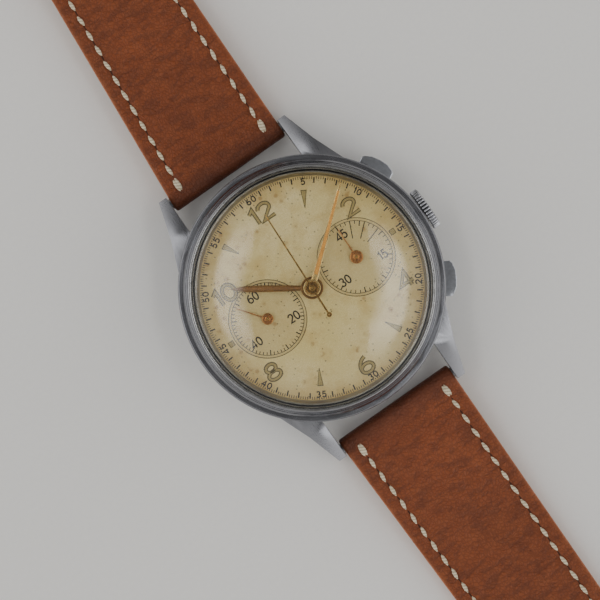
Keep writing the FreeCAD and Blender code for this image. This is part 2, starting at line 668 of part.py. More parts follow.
# ---------------------------------------------------------------- movement: plates
def pivot_hole(name, x, y, radius="pivot_radius"):
    return cylinder(name, radius + " + pivot_gap", "plate_top", x, y, "cock_bottom")


def make_main_plate():
    disc = cylinder("PlateDisc", "movement_radius", "plate_top - plate_bottom", z="plate_bottom")
    barrel_radius = "barrel_teeth * barrel_module / 2 + 3 * barrel_module"
    pinion_radius = "centre_pinion_teeth * barrel_module / 2 + 3 * barrel_module"
    recess_top = "plate_bottom + 0.75"
    motion_radius = "minute_offset + minute_teeth * minute_module / 2 + 2 * minute_module"
    tools = [
        cylinder("BarrelRecess", barrel_radius, "0.8 + 0.75", "barrel_x", "barrel_y", "plate_bottom - 0.8"),
        cylinder("PinionRecess", pinion_radius, "0.8 + 0.75", z=recess_top + " - 1.55"),
        cylinder("MotionRecess", motion_radius, "plate_top", z="plate_top - 0.8"),
        box("KeylessRecess", "movement_radius", "2.9", "2", "pinion_start - 0.3", "-1.45", "plate_bottom - 1"),
        cylinder("StemChannel", "stem_radius + 0.15", "movement_radius", "stem_start - 0.3", 0,
                 "stem_height", outward(0)),
        cylinder("CentreHole", "centre_arbor + pivot_gap", "plate_top", z="plate_bottom / 2"),
        pivot_hole("ThirdHole", "third_x", "third_y"),
        pivot_hole("FourthHole", "-counter_offset", 0),
        pivot_hole("EscapeHole", "escape_x", "escape_y"),
        pivot_hole("PalletHole", "pallet_x", "pallet_y"),
        pivot_hole("BalanceHole", "balance_x", "balance_y"),
        pivot_hole("RecorderHole", "counter_offset", 0, "recorder_arbor"),
    ]
    plate = cut("PlateCut", disc, tools)
    post = cylinder("MinutePost", "pivot_radius", "0.8", y="-minute_offset", z="plate_top - 0.8")
    subpart("main_plate", fuse("MainPlate", [plate, post]))


def foot(name, x, y, radius="foot_radius"):
    """A pillar between a bridge and the main plate."""
    return cylinder(name, radius, "plate_bottom - bridge_top", x, y, "bridge_top")


def make_bridges():
    height = "bridge_top - bridge_bottom"
    disc = cylinder("BarrelBridgeDisc", "bridge_radius", height, z="bridge_bottom")
    half = box("BarrelBridgeHalf", "2 * bridge_radius", "bridge_radius", height, "-bridge_radius + 5", "2.9",
               "bridge_bottom")
    reach = box("BarrelBridgeReach", "bridge_radius - 1.6", "2", height, "1.6", "1.6", "bridge_bottom")
    area = common("BarrelBridgeArea", disc, fuse("BarrelBridgeBlank", [half, reach]))
    hole = pivot_hole("BarrelArborHole", "barrel_x", "barrel_y", "3 * pivot_radius")
    feet = [foot("BarrelFootLeft", "-5", "8.6"), foot("BarrelFootRight", "8.6", "6.3")]
    stud = cylinder("CrownWheelStud", "2 * pivot_radius", "bridge_bottom - winding_bottom", "crown_wheel_x",
                    "crown_wheel_y", "winding_bottom")
    subpart("barrel_bridge", fuse("BarrelBridge", [cut("BarrelBridgeCut", area, [hole]), stud] + feet))

    disc = cylinder("TrainBridgeDisc", "bridge_radius", height, z="bridge_bottom")
    block = box("TrainBridgeBlock", "2 * bridge_radius", "5.7", height, "4.2 - 2 * bridge_radius", "-4.2",
                "bridge_bottom")
    area = common("TrainBridgeArea", disc, block)
    holes = [
        cylinder("TrainCentreHole", "centre_arbor + pivot_gap", "plate_top", z="cock_bottom"),
        pivot_hole("TrainThirdHole", "third_x", "third_y"),
        pivot_hole("TrainFourthHole", "-counter_offset", 0),
        pivot_hole("TrainEscapeHole", "escape_x", "escape_y"),
    ]
    feet = [foot("TrainFootLeft", "-11.1", "1.0"), foot("TrainFootRight", "3.6", "-3.7", "0.45")]
    subpart("train_bridge", fuse("TrainBridge", [cut("TrainBridgeCut", area, holes)] + feet))

    bar = box("PalletBar", "4", "1.2", "0.2", "pallet_x - 3.3", "pallet_y - 0.6", "bridge_top - 0.13")
    hole = pivot_hole("PalletBarHole", "pallet_x", "pallet_y")
    foot_height = "plate_bottom - bridge_top - 0.07"
    leg = cylinder("PalletFoot", "0.4", foot_height, "pallet_x - 2.8", "pallet_y", "bridge_top + 0.07")
    subpart("pallet_bridge", fuse("PalletBridge", [cut("PalletBarCut", bar, [hole]), leg]))


def make_balance_cock():
    """The cock over the balance, with its foot standing on the main plate."""
    height = "cock_top - cock_bottom"
    foot_x, foot_y = "balance_x + 5.9", "balance_y - 3.0"
    arm_angle = math.degrees(math.atan2(-3.0, 5.9))
    arm_length = "sqrt(5.9 ^ 2 + 3 ^ 2)"
    end = cylinder("CockEnd", "1.3", height, "balance_x", "balance_y", "cock_bottom")
    root = cylinder("CockRoot", "1.4", "plate_bottom - cock_bottom", foot_x, foot_y, "cock_bottom")
    arm = box("CockArm", arm_length, "1.8", height, "balance_x + 0.9 * sin(%f)" % arm_angle,
              "balance_y - 0.9 * cos(%f)" % arm_angle, "cock_bottom", about_z(arm_angle))
    hole = pivot_hole("CockHole", "balance_x", "balance_y")
    subpart("balance_cock", cut("BalanceCock", fuse("CockSolid", [end, arm, root]), [hole]))


def make_screws():
    """The slotted screws that hold the bridges and the cock, heads down."""
    spots = (
        ("-5", "8.6", "bridge_bottom"), ("8.6", "6.3", "bridge_bottom"), ("-11.1", "1.0", "bridge_bottom"),
        ("balance_x + 5.9", "balance_y - 3.0", "cock_bottom"),
    )
    head = size("screw_head")
    radius = size("screw_radius")
    slot = Part.makeBox(2 * radius, 0.2, 0.15, V(-radius, -0.1, -head))
    screws = []
    for x, y, z in spots:
        screw = rod(radius, -head, 0).cut(slot)
        screw.translate(V(size(x), size(y), size(z)))
        screws.append(screw)
    subpart("bridge_screws", shaped("BridgeScrews", Part.makeCompound(screws)))


# ---------------------------------------------------------------- movement: going train
def make_train():
    """Barrel, wheels and pinions from the mainspring to the escapement, each meshed with the next."""
    barrel_way = direction("barrel_x", "barrel_y", 0, 0)
    third_way = direction(0, 0, "third_x", "third_y")
    fourth_way = direction("third_x", "third_y", "-counter_offset", 0)
    escape_way = direction("-counter_offset", 0, "escape_x", "escape_y")
    pinion_phase = mesh_phase(barrel_way, size("barrel_teeth"), size("centre_pinion_teeth"), barrel_way)
    third_phase = mesh_phase(third_way, size("centre_teeth"), size("third_pinion_teeth"), third_way)
    fourth_phase = mesh_phase(fourth_way, size("third_teeth"), size("fourth_pinion_teeth"), fourth_way)
    escape_phase = mesh_phase(escape_way, size("fourth_teeth"), size("escape_pinion_teeth"), escape_way)

    top = size("plate_bottom")
    wall = size("barrel_wall")
    drum_radius = size("barrel_teeth * barrel_module / 2 - 3 * barrel_module")
    teeth = toothed(size("barrel_teeth"), size("barrel_module"), top + 0.2, 0.4, barrel_way)
    drum = joined([teeth, rod(drum_radius, top - 0.7, top + 0.3)],
                  [rod(drum_radius - wall, top - 0.4, top + 0.35), rod(0.45, 0, 9)])
    subpart("barrel_drum", shaped("BarrelDrum", drum, "barrel_x", "barrel_y"))
    turns = int((drum_radius - wall - 1.2) / size("spring_pitch")) - 1
    coil = spiral(1.2, size("spring_pitch"), turns, size("spring_leaf"), top - 0.35, 0.55)
    subpart("mainspring", shaped("Mainspring", coil, "barrel_x", "barrel_y"))

    centre = joined([
        rod(size("centre_arbor"), size("bridge_bottom"), size("minute_z") + 0.1),
        toothed(size("centre_pinion_teeth"), size("barrel_module"), top + 0.2, 0.4, pinion_phase),
        toothed(size("centre_teeth"), size("centre_module"), top - 1.05, 0.2, third_way, 5, 1.1),
    ], [rod(size("arbor_bore"), 0, 12)])
    subpart("centre_wheel", shaped("CentreWheel", centre))

    arbor = size("pivot_radius")
    low, high = size("bridge_bottom"), size("plate_top") - 0.9
    third = joined([
        rod(arbor, low, high),
        toothed(size("third_pinion_teeth"), size("centre_module"), top - 1.1, 0.3, third_phase),
        toothed(size("third_teeth"), size("third_module"), top - 0.6, 0.15, fourth_way, 5, 0.8),
    ])
    subpart("third_wheel", shaped("ThirdWheel", third, "third_x", "third_y"))

    fourth = joined([
        rod(arbor, size("chrono_bottom"), size("small_z + small_thickness") + 0.1),
        toothed(size("fourth_pinion_teeth"), size("third_module"), top - 0.65, 0.3, fourth_phase),
        toothed(size("fourth_teeth"), size("fourth_module"), top - 0.25, 0.15, escape_way, 5, 0.7),
        toothed(size("driver_teeth"), size("chrono_module"), size("chrono_bottom"), 0.2, 0, 4, 0.5),
    ])
    subpart("fourth_wheel", shaped("FourthWheel", fourth, "-counter_offset"))

    escape = joined([
        rod(arbor, low, high),
        toothed(size("escape_pinion_teeth"), size("fourth_module"), top - 0.3, 0.25, escape_phase),
        club_wheel(size("escape_teeth"), size("escape_radius"), top - 1.0, 0.15),
    ])
    subpart("escape_wheel", shaped("EscapeWheel", escape, "escape_x", "escape_y"))


def club_wheel(teeth, radius, bottom, thickness):
    """The escape wheel: slanted teeth on a thin rim with four spokes."""
    pitch = 2 * math.pi / teeth
    rim = []
    for tooth in range(int(teeth)):
        start = tooth * pitch
        rim += [polar(0.78 * radius, start), polar(radius, start + 0.42 * pitch),
                polar(0.98 * radius, start + 0.58 * pitch), polar(0.78 * radius, start + 0.36 * pitch)]
    disc = Part.Face(Part.makePolygon(rim + rim[:1])).extrude(V(0, 0, thickness))
    disc.translate(V(0, 0, bottom))
    for spoke in range(4):
        disc = disc.cut(window(0.62 * radius, 0.25 * radius, bottom, thickness, spoke * 90, 90))
    return disc


def make_escapement():
    top = size("plate_bottom")
    low, high = size("bridge_bottom"), size("plate_top") - 0.9
    to_escape = direction("pallet_x", "pallet_y", "escape_x", "escape_y")
    to_balance = direction("pallet_x", "pallet_y", "balance_x", "balance_y")
    arms = []
    for way, length, width in ((to_escape + 72, 1.6, 0.4), (to_escape - 72, 1.6, 0.4), (to_balance, 2.9, 0.3)):
        arm = Part.makeBox(length, width, 0.15, V(0, -width / 2, top - 1.0))
        arm.rotate(V(0, 0, 0), V(0, 0, 1), way)
        arms.append(arm)
    fork = joined([rod(size("pivot_radius"), low + 0.45, high), rod(0.5, top - 1.0, top - 0.85)] + arms)
    subpart("pallet_fork", shaped("PalletFork", fork, "pallet_x", "pallet_y"))

    outer = size("balance_radius")
    rim = size("balance_rim")
    bottom = size("bridge_bottom - 0.05")
    spoke = Part.makeBox(2 * (outer - rim / 2), 0.5, 0.25, V(rim / 2 - outer, -0.25, bottom))
    wheel = joined([
        rod(outer, bottom, bottom + 0.35).cut(rod(outer - rim, 0, 9)),
        spoke, rod(0.5, bottom, bottom + 0.35), rod(0.15, size("cock_bottom"), high),
    ])
    subpart("balance_wheel", shaped("BalanceWheel", wheel, "balance_x", "balance_y"))
    hair = spiral(0.2, size("hair_pitch"), 7, size("hair_leaf"), size("cock_top") + 0.1, 0.15)
    subpart("hairspring", shaped("Hairspring", hair, "balance_x", "balance_y"))


def make_motion_work():
    """Cannon pinion, minute wheel and hour wheel, which carry the hour and minute hands."""
    down = -90.0
    minute_phase = mesh_phase(0, size("cannon_teeth"), size("minute_teeth"), down)
    hour_phase = mesh_phase(0, size("minute_pinion_teeth"), size("hour_teeth"), -down)
    floor = size("plate_top") - 0.75
    bore = [rod(size("centre_arbor"), 0, 12)]
    cannon = joined([
        rod(size("cannon_radius"), floor, size("minute_z + hand_thickness")),
        toothed(size("cannon_teeth"), size("minute_module"), floor, 0.3),
    ], bore)
    subpart("cannon_pinion", shaped("CannonPinion", cannon))
    minute = joined([
        toothed(size("minute_teeth"), size("minute_module"), floor + 0.05, 0.2, minute_phase),
        toothed(size("minute_pinion_teeth"), size("hour_module"), floor + 0.2, 0.5),
    ], [rod(size("pivot_radius + pivot_gap"), 0, 12)])
    subpart("minute_wheel", shaped("MinuteWheel", minute, 0, "-minute_offset"))
    hour = joined([
        toothed(size("hour_teeth"), size("hour_module"), floor + 0.45, 0.2, hour_phase),
        rod(size("hour_pipe_radius"), floor + 0.45, size("hour_z + hand_thickness")),
    ], [rod(size("cannon_radius + hour_pipe_gap"), 0, 12)])
    subpart("hour_wheel", shaped("HourWheel", hour))


# ---------------------------------------------------------------- movement: winding
def make_winding():
    bottom = size("winding_bottom")
    thick = size("winding_top - winding_bottom")
    module = size("winding_module")
    way = direction("crown_wheel_x", "crown_wheel_y", "barrel_x", "barrel_y")
    ratchet_phase = mesh_phase(way, size("crown_wheel_teeth"), size("ratchet_teeth"), way)
    crown_wheel = joined([toothed(size("crown_wheel_teeth"), module, bottom, thick, way)],
                         [rod(size("2 * pivot_radius + pivot_gap"), 0, 12)])
    subpart("crown_wheel", shaped("CrownWheel", crown_wheel, "crown_wheel_x", "crown_wheel_y"))
    ratchet = joined([
        toothed(size("ratchet_teeth"), module, bottom, thick, ratchet_phase),
        rod(0.4, bottom, size("plate_bottom") + 0.7),
    ])
    subpart("ratchet_wheel", shaped("RatchetWheel", ratchet, "barrel_x", "barrel_y"))
    click_body = padded_body("ClickArm", "winding_top - winding_bottom", [(
        ("-0.35", "0"), ("0", "-0.35"), ("0.6", "-0.2"), ("0.75", "0.1"), ("0.1", "0.4"), ("-0.3", "0.3"),
    )])
    subpart("click", moved_to(click_body, "click_x", "click_y", "winding_bottom"))
    for label, name, start, length in (
            ("winding_pinion", "WindingPinion", "pinion_start", "pinion_length"),
            ("clutch_wheel", "ClutchWheel", "clutch_start", "clutch_length")):
        teeth = 16
        outline_module = size("clutch_radius") * 2 / (teeth + 2 * TIP_RISE)
        barrel = toothed(teeth, outline_module, 0, size(length))
        barrel = joined([barrel], [rod(size("stem_radius + running_gap"), -1, 9)])
        subpart(label, shaped(name, barrel, start, 0, "stem_height", outward(0)))


# ---------------------------------------------------------------- movement: chronograph
def heart(radius, bottom, thickness):
    """A heart cam: two arcs that meet in a notch, which brings a hand back to zero."""
    points = []
    steps = 18
    for i in range(steps + 1):
        angle = math.pi * i / steps
        points.append(polar(radius * (0.45 + 0.55 * angle / math.pi), angle))
    mirror = [V(p.x, -p.y, 0) for p in points[-2:0:-1]]
    outline = points + mirror
    cam = Part.Face(Part.makePolygon(outline + outline[:1])).extrude(V(0, 0, thickness))
    cam.translate(V(0, 0, bottom))
    return cam


def make_chronograph_wheels():
    bottom = size("chrono_bottom")
    thick = size("chrono_top - chrono_bottom")
    module = size("chrono_module")
    low = size("lever_bottom - 0.2")
    runner = joined([
        toothed(size("runner_teeth"), module, bottom, thick, 0, 5, 0.9),
        rod(size("runner_arbor"), low, size("pipe_top")), heart(size("heart_radius"), size("lever_bottom"), 0.4),
    ])
    subpart("chronograph_runner", shaped("ChronographRunner", runner))
    recorder = joined([
        toothed(size("recorder_teeth"), 0.07, bottom, thick),
        rod(size("recorder_arbor"), low, size("small_z + small_thickness") + 0.1),
        heart(size("heart_radius"), size("lever_bottom"), 0.4),
    ])
    subpart("minute_recorder", shaped("MinuteRecorder", recorder, "counter_offset"))
    coupling = joined([toothed(size("coupling_teeth"), module, bottom, thick), rod(0.3, bottom - 0.1, bottom + 0.4)],
                      [rod(0.15, 0, 9)])
    subpart("coupling_wheel", shaped("CouplingWheel", coupling, "coupling_x", "coupling_y"))
    column = joined([toothed(18, size("2 * column_radius / 18"), bottom - 0.6, 0.3)] + columns()
                    + [rod(0.3, low, size("winding_bottom") - 0.15)])
    subpart("column_wheel", shaped("ColumnWheel", column, "column_x", "column_y"))


def columns():
    """The upright teeth that the chronograph's levers ride on."""
    count = int(size("column_count"))
    floor = size("chrono_bottom") - 0.35
    posts = []
    for i in range(count):
        post = Part.makeBox(0.7, 0.5, 0.8, V(size("column_radius") - 1.15, -0.25, floor))
        post.rotate(V(0, 0, 0), V(0, 0, 1), i * 360 / count)
        posts.append(post)
    return [rod(size("column_radius") - 0.75, floor, floor + 0.3)] + posts


def lever(label, name, pivot, points, extra=()):
    """A flat steel lever about a pivot; its corners are given from the watch's centre."""
    thickness = "lever_top - lever_bottom"
    body = padded_body(name + "Arm", thickness, [points])
    moved_to(body, 0, 0, "lever_bottom")
    boss = cylinder(name + "Boss", "0.55", "2.6 - (lever_bottom - 0.2)", pivot[0], pivot[1], "lever_bottom - 0.2")
    subpart(label, fuse(name, [body, boss] + list(extra)))


def push_pivot(angle):
    """Where the lever that a push-piece works is pivoted, and where its upturned tab stands."""
    way = math.radians(size(angle))
    reach = size("push_stem_start - tab_gap")
    arm = size("lever_arm")
    tab = (reach * math.cos(way), reach * math.sin(way))
    pivot = (tab[0] - arm * math.sin(way), tab[1] + arm * math.cos(way))
    return pivot, tab


def push_tab(name, angle):
    """The upturned tab that a push-piece's stem meets."""
    reach = "push_stem_start - tab_gap - 0.5"
    way = math.radians(size(angle))
    across = V(math.sin(way), -math.cos(way), 0) * 0.6
    x = "(%s) * cos(%s) + %f" % (reach, angle, across.x)
    y = "(%s) * sin(%s) + %f" % (reach, angle, across.y)
    return box(name, "0.5", "1.2", "push_height + 0.5 - lever_bottom", x, y, "lever_bottom", about_z(size(angle)))


def make_levers():
    (px, py), (tx, ty) = push_pivot("start_angle")
    hook = ("column_x + column_radius + 0.35", "column_y + 0.6")
    points = [
        (tx - 0.75, ty - 0.2), (tx + 0.1, ty + 0.1), (px + 0.5, py), (px, py + 0.55), (px - 0.5, py + 0.45),
        hook, ("column_x + column_radius + 0.3", "column_y + 0.1"), (px - 1.1, py - 0.9),
    ]
    lever("operating_lever", "OperatingLever", (px, py), points, [push_tab("OperatingTab", "start_angle")])

    (px, py), (tx, ty) = push_pivot("reset_angle")
    points = [
        (tx - 0.6, ty), (tx + 0.1, ty - 0.35), (px + 0.5, py - 0.2), (px + 0.3, py + 0.5),
        ("counter_offset + 0.9", "-2.6"), ("counter_offset + 0.7", "-2.1"), ("counter_offset - 0.7", "-2.1"),
        ("counter_offset - 1", "-3.6"), ("2.4", "-4.4"), ("2", "-4.1"), ("-0.6", "-4.1"), ("-0.6", "-5"),
        ("counter_offset", "-4.7"), (px - 2.2, py - 0.9),
    ]
    lever("reset_hammer", "ResetHammer", (px, py), points, [push_tab("HammerTab", "reset_angle")])

    pivot = ("coupling_pivot_x", "coupling_pivot_y")
    points = [
        ("coupling_x - 0.4", "coupling_y - 0.3"), ("coupling_x + 0.4", "coupling_y - 0.3"),
        ("coupling_pivot_x + 1.0", "coupling_pivot_y - 0.9"),
        ("column_x - column_radius - 0.45", "column_y - 0.9"), ("column_x - column_radius - 0.3", "column_y - 0.2"),
        ("coupling_pivot_x + 0.4", "coupling_pivot_y + 0.5"), ("coupling_pivot_x - 0.5", "coupling_pivot_y + 0.3"),
    ]
    pin = cylinder("CouplingPin", "0.12", "0.7", "coupling_x", "coupling_y", "lever_top")
    lever("coupling_lever", "CouplingLever", pivot, points, [pin])


# ---------------------------------------------------------------- strap
def make_spring_bars():
    for label, name, end in (("spring_bar_upper", "BarUpper", 1), ("spring_bar_lower", "BarLower", -1)):
        y = "%d * bar_reach" % end
        body_half = "(lug_gap / 2 - bar_hole_gap)"
        tip_half = "(lug_gap / 2 + bar_tip_reach)"
        barrel = cylinder(name + "Barrel", "bar_radius", "2 * " + body_half, "-" + body_half, y, "bar_height", outward(0))
        tips = cylinder(name + "Tips", "bar_tip_radius", "2 * " + tip_half, "-" + tip_half, y, "bar_height", outward(0))
        subpart(label, fuse(name, [barrel, tips]))


def strap_side(floor, run, end):
    """A strap half seen from the side, between its eye and its far end."""
    top = "(%s + strap_thickness)" % floor
    corners = (
        ("bar_reach", "bar_height - eye_radius"),
        ("bar_reach + settle_run", floor),
        (run, floor),
        (run, top),
        ("bar_reach + settle_run", top),
        ("bar_reach", "bar_height + eye_radius"),
    )
    return [("%d * (%s)" % (end, y), z) for y, z in corners]


def edge_x(side, lean, along, taper_end):
    """How far to the side a strap's edge lies at a distance from the watch's centre."""
    shift = "%s * (%s - bar_reach)" % (lean, along)
    narrowing = "(strap_width - strap_end_width) / 2 * (%s - bar_reach) / (%s - bar_reach)" % (along, taper_end)
    return "%s + %d * (strap_width / 2 - %s)" % (shift, side, narrowing)


def side_trim(side, end, lean, lean_end, taper_end, far):
    """What is cut from one edge of a strap half to taper it and lean it to the side."""
    near = "(bar_reach - eye_radius)"
    outside = "%d * (strap_width)" % side
    tapered_to = edge_x(side, lean, taper_end, taper_end)
    straight = "%s * (%s - bar_reach) + %d * strap_end_width / 2" % (lean, lean_end, side)
    corners = [
        ("%d * strap_width / 2" % side, near),
        ("%d * strap_width / 2" % side, "bar_reach"),
        (tapered_to, taper_end),
        (straight, lean_end),
        (straight, far),
        (outside, far),
        (outside, near),
    ]
    if size(lean_end) <= size(taper_end):
        corners.pop(3)
    return [(x, "%d * (%s)" % (end, y)) for x, y in corners]


def make_strap_buckle_side():
    """The short half: an eye on the spring bar, two tapering edges and a fold round the buckle's bar."""
    body = doc.addObject("PartDesign::Body", "StrapBuckleSide")
    far = "(bar_reach + buckle_bar_run)"
    side = strap_side("buckle_side_lift", far, 1)
    pad_on(body, "ShortSide", "YZ_Plane", "2 * strap_width", [side], symmetric=True)
    pad_on(body, "ShortEye", "YZ_Plane", "2 * strap_width", [], [("bar_reach", "bar_height", "eye_radius")], True)
    bar = (far, "buckle_side_lift + strap_thickness / 2")
    pad_on(body, "ShortFold", "YZ_Plane", "2 * strap_width", [], [bar + ("buckle_eye",)], True)
    far_edge = far + " + 3"
    trims = [side_trim(s, 1, "upper_lean", "upper_lean_end", "upper_taper_end", far_edge) for s in (1, -1)]
    wide = [[(x.replace("(strap_width)", "(strap_width + 1)"), y) for x, y in trim] for trim in trims]
    pocket_through(body, "ShortEdges", "XY_Plane", wide)
    bores = [("bar_reach", "bar_height", "bar_radius + running_gap"), bar + ("buckle_bar + running_gap",)]
    pocket_through(body, "ShortBores", "YZ_Plane", [], bores)
    middle = "upper_lean * (upper_lean_end - bar_reach)"
    slot = (
        (middle + " - slot_half", far + " - slot_run"),
        (middle + " + slot_half", far + " - slot_run"),
        (middle + " + slot_half", far_edge),
        (middle + " - slot_half", far_edge),
    )
    pocket_through(body, "TongueSlot", "XY_Plane", [slot])
    subpart("strap_buckle_side", body)


def make_strap_tip_side():
    """The long half: an eye on the spring bar, a row of holes and a pointed tip."""
    body = doc.addObject("PartDesign::Body", "StrapTipSide")
    far = "(bar_reach + lower_run)"
    pad_on(body, "LongSide", "YZ_Plane", "2 * strap_width", [strap_side("keeper_floor", far, -1)], symmetric=True)
    eye = ("-bar_reach", "bar_height", "eye_radius")
    pad_on(body, "LongEye", "YZ_Plane", "2 * strap_width", [], [eye], True)
    middle = "lower_lean * (lower_lean_end - bar_reach)"
    trims = []
    for side in (1, -1):
        near = "(bar_reach - eye_radius)"
        outside = "%d * (strap_width + 1)" % side
        straight = middle + " + %d * strap_end_width / 2" % side
        corners = [
            ("%d * strap_width / 2" % side, near),
            ("%d * strap_width / 2" % side, "bar_reach"),
            (edge_x(side, "lower_lean", "lower_lean_end", "lower_taper_end"), "lower_lean_end"),
            (straight, "lower_taper_end"),
            (straight, far + " - point_run"),
            (middle + " + %d * strap_end_width / 3" % side, far + " - point_run / 3"),
            (middle, far),
            (middle, far + " + 1"),
            (outside, far + " + 1"),
            (outside, near),
        ]
        trims.append([(x, "-(%s)" % y) for x, y in corners])
    pocket_through(body, "LongEdgeRight", "XY_Plane", trims[:1])
    pocket_through(body, "LongEdgeLeft", "XY_Plane", trims[1:])
    bore = ("-bar_reach", "bar_height", "bar_radius + running_gap")
    pocket_through(body, "LongBore", "YZ_Plane", [], [bore])
    holes = []
    for hole in range(int(size("hole_count"))):
        holes.append((middle, "-(bar_reach + hole_first + %d * hole_pitch)" % hole, "hole_radius"))
    pocket_through(body, "LongHoles", "XY_Plane", [], holes)
    subpart("strap_tip_side", body)


# ---------------------------------------------------------------- buckle and keepers
def make_buckle():
    """Frame, bar and tongue of the tang buckle, along its own +Y from the bar."""
    middle = "upper_lean * (upper_lean_end - bar_reach)"
    bar_y = "(bar_reach + buckle_bar_run)"
    bar_z = "buckle_side_lift + strap_thickness / 2"
    front = "(frame_front + frame_bar_width)"
    outline = (
        ("-frame_half", "-frame_back"), ("frame_half", "-frame_back"), ("frame_half", front + " - 2"),
        ("frame_half - 2", front), ("2 - frame_half", front), ("-frame_half", front + " - 2"),
    )
    window_points = (
        ("-frame_inner", "-frame_back - 1"), ("frame_inner", "-frame_back - 1"), ("frame_inner", "frame_front"),
        ("-frame_inner", "frame_front"),
    )
    body = padded_body("FrameBody", "frame_depth", [outline])
    pocket_through(body, "FrameWindow", "XY_Plane", [window_points])
    moved_to(body, middle, bar_y, bar_z + " - frame_depth / 2")
    notch = box("FrameNotch", "2 * (tongue_half + 0.2)", "4 * frame_bar_width", "2 * front_drop",
                middle + " - tongue_half - 0.2", bar_y + " + frame_front - 1",
                bar_z + " + frame_depth / 2 - front_drop")
    half = "(frame_inner + (frame_half - frame_inner) / 2)"
    hole = cylinder("FrameBarHole", "buckle_bar", "2 * " + half, middle + " - " + half, bar_y, bar_z, outward(0))
    subpart("buckle_frame", cut("BuckleFrame", body, [notch, hole]))
    bar = cylinder("BuckleBarRod", "buckle_bar", "2 * " + half, middle + " - " + half, bar_y, bar_z, outward(0))
    subpart("buckle_bar", bar)

    tongue = doc.addObject("PartDesign::Body", "TongueBody")
    end = front + " + 0.3"
    rest = "(frame_depth / 2 - front_drop + 0.05)"
    side = (
        ("0", "tongue_lift - 0.3"), ("frame_front - 1.2", rest), (end, rest), (end, rest + " + 0.5"),
        ("frame_front - 1.2", rest + " + tongue_thickness"), ("0", "tongue_lift + tongue_thickness * 0.6"),
    )
    pad_on(tongue, "TongueSide", "YZ_Plane", "2 * tongue_half", [side], symmetric=True)
    pad_on(tongue, "TongueRing", "YZ_Plane", "2 * tongue_half", [], [("0", "0", "tongue_ring")], True)
    pocket_through(tongue, "TongueBore", "YZ_Plane", [], [("0", "0", "buckle_bar + running_gap")])
    subpart("buckle_tongue", moved_to(tongue, middle, bar_y, bar_z))


def make_keepers():
    """Two leather loops round the short half: one sewn in place, one that slides."""
    inner = "(strap_end_width / 2 + keeper_gap)"
    low = "buckle_side_lift - keeper_gap"
    for label, name, run in (
            ("keeper_fixed", "KeeperFixed", "fixed_keeper_run"), ("keeper_loose", "KeeperLoose", "loose_keeper_run")):
        middle = "upper_lean * (min(%s; upper_lean_end - bar_reach))" % run
        outer = "(%s + keeper_band)" % inner
        y = "bar_reach + %s - keeper_width / 2" % run
        block = box(name + "Block", "2 * " + outer, "keeper_width", "keeper_inner_height + 2 * keeper_band",
                    "%s - %s" % (middle, outer), y, low + " - keeper_band")
        gap = box(name + "Gap", "2 * " + inner, "3 * keeper_width", "keeper_inner_height",
                  "%s - %s" % (middle, inner), y + " - keeper_width", low)
        subpart(label, cut(name, block, [gap]))


# ---------------------------------------------------------------- check and write
def check_document():
    """Stop if any object failed to build or any sub-part has no valid solid."""
    for thing in doc.Objects:
        if "Invalid" in thing.State or "Error" in thing.State:
            raise RuntimeError("%s did not build: %s" % (thing.Name, thing.State))
    for thing in SUBPARTS:
        if thing.Shape.isNull() or not thing.Shape.isValid() or not thing.Shape.Solids:
            raise RuntimeError("%s has no valid solid" % thing.Label)


def write_parts():
    os.makedirs("parts", exist_ok=True)
    for thing in SUBPARTS:
        thing.Shape.exportStep(os.path.join("parts", thing.Label + ".step"))
        print("%-22s %8.2f mm3" % (thing.Label, thing.Shape.Volume))
    print(len(SUBPARTS), "sub-parts")


fill_sheet()
make_case_middle()
make_bezel()
make_crystal()
make_case_back()
make_dial()
make_movement_ring()
make_crown()
make_push_pieces()
make_hands()
make_main_plate()
make_bridges()
make_balance_cock()
make_screws()
make_train()
make_escapement()
make_motion_work()
make_winding()
make_chronograph_wheels()
make_levers()
make_spring_bars()
make_strap_buckle_side()
make_strap_tip_side()
make_buckle()
make_keepers()
doc.recompute()
check_document()
write_parts()
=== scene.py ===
"""Looks of a steel chronograph wristwatch on a stitched leather strap, built around its CAD model."""

from __future__ import annotations

import logging
import math
from dataclasses import dataclass
from dataclasses import field
from enum import Enum
from typing import Iterable
from typing import Optional
from typing import Sequence

import bmesh
import bpy
from mathutils import Matrix
from mathutils import Vector


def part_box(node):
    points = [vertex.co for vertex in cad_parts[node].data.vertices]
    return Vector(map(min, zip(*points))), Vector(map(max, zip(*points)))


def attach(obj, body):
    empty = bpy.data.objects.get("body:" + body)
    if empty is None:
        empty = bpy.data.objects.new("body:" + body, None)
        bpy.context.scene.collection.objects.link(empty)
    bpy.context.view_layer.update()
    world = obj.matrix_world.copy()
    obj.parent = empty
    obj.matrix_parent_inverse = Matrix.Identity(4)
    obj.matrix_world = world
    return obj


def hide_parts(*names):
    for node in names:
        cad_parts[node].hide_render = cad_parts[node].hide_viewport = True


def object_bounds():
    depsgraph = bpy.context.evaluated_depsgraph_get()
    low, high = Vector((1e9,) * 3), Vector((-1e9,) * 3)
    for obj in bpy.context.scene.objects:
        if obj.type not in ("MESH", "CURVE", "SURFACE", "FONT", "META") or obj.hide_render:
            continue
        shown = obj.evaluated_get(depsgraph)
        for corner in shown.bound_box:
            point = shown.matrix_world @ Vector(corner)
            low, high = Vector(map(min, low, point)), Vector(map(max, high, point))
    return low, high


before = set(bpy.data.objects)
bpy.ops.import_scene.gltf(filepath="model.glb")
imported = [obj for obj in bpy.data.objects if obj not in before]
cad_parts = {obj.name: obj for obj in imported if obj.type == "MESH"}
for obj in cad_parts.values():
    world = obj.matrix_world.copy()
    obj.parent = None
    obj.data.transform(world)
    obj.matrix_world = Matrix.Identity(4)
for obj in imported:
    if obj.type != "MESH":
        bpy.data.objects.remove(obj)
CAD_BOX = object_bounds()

MM = 0.001
FULL_TURN = 2 * math.pi
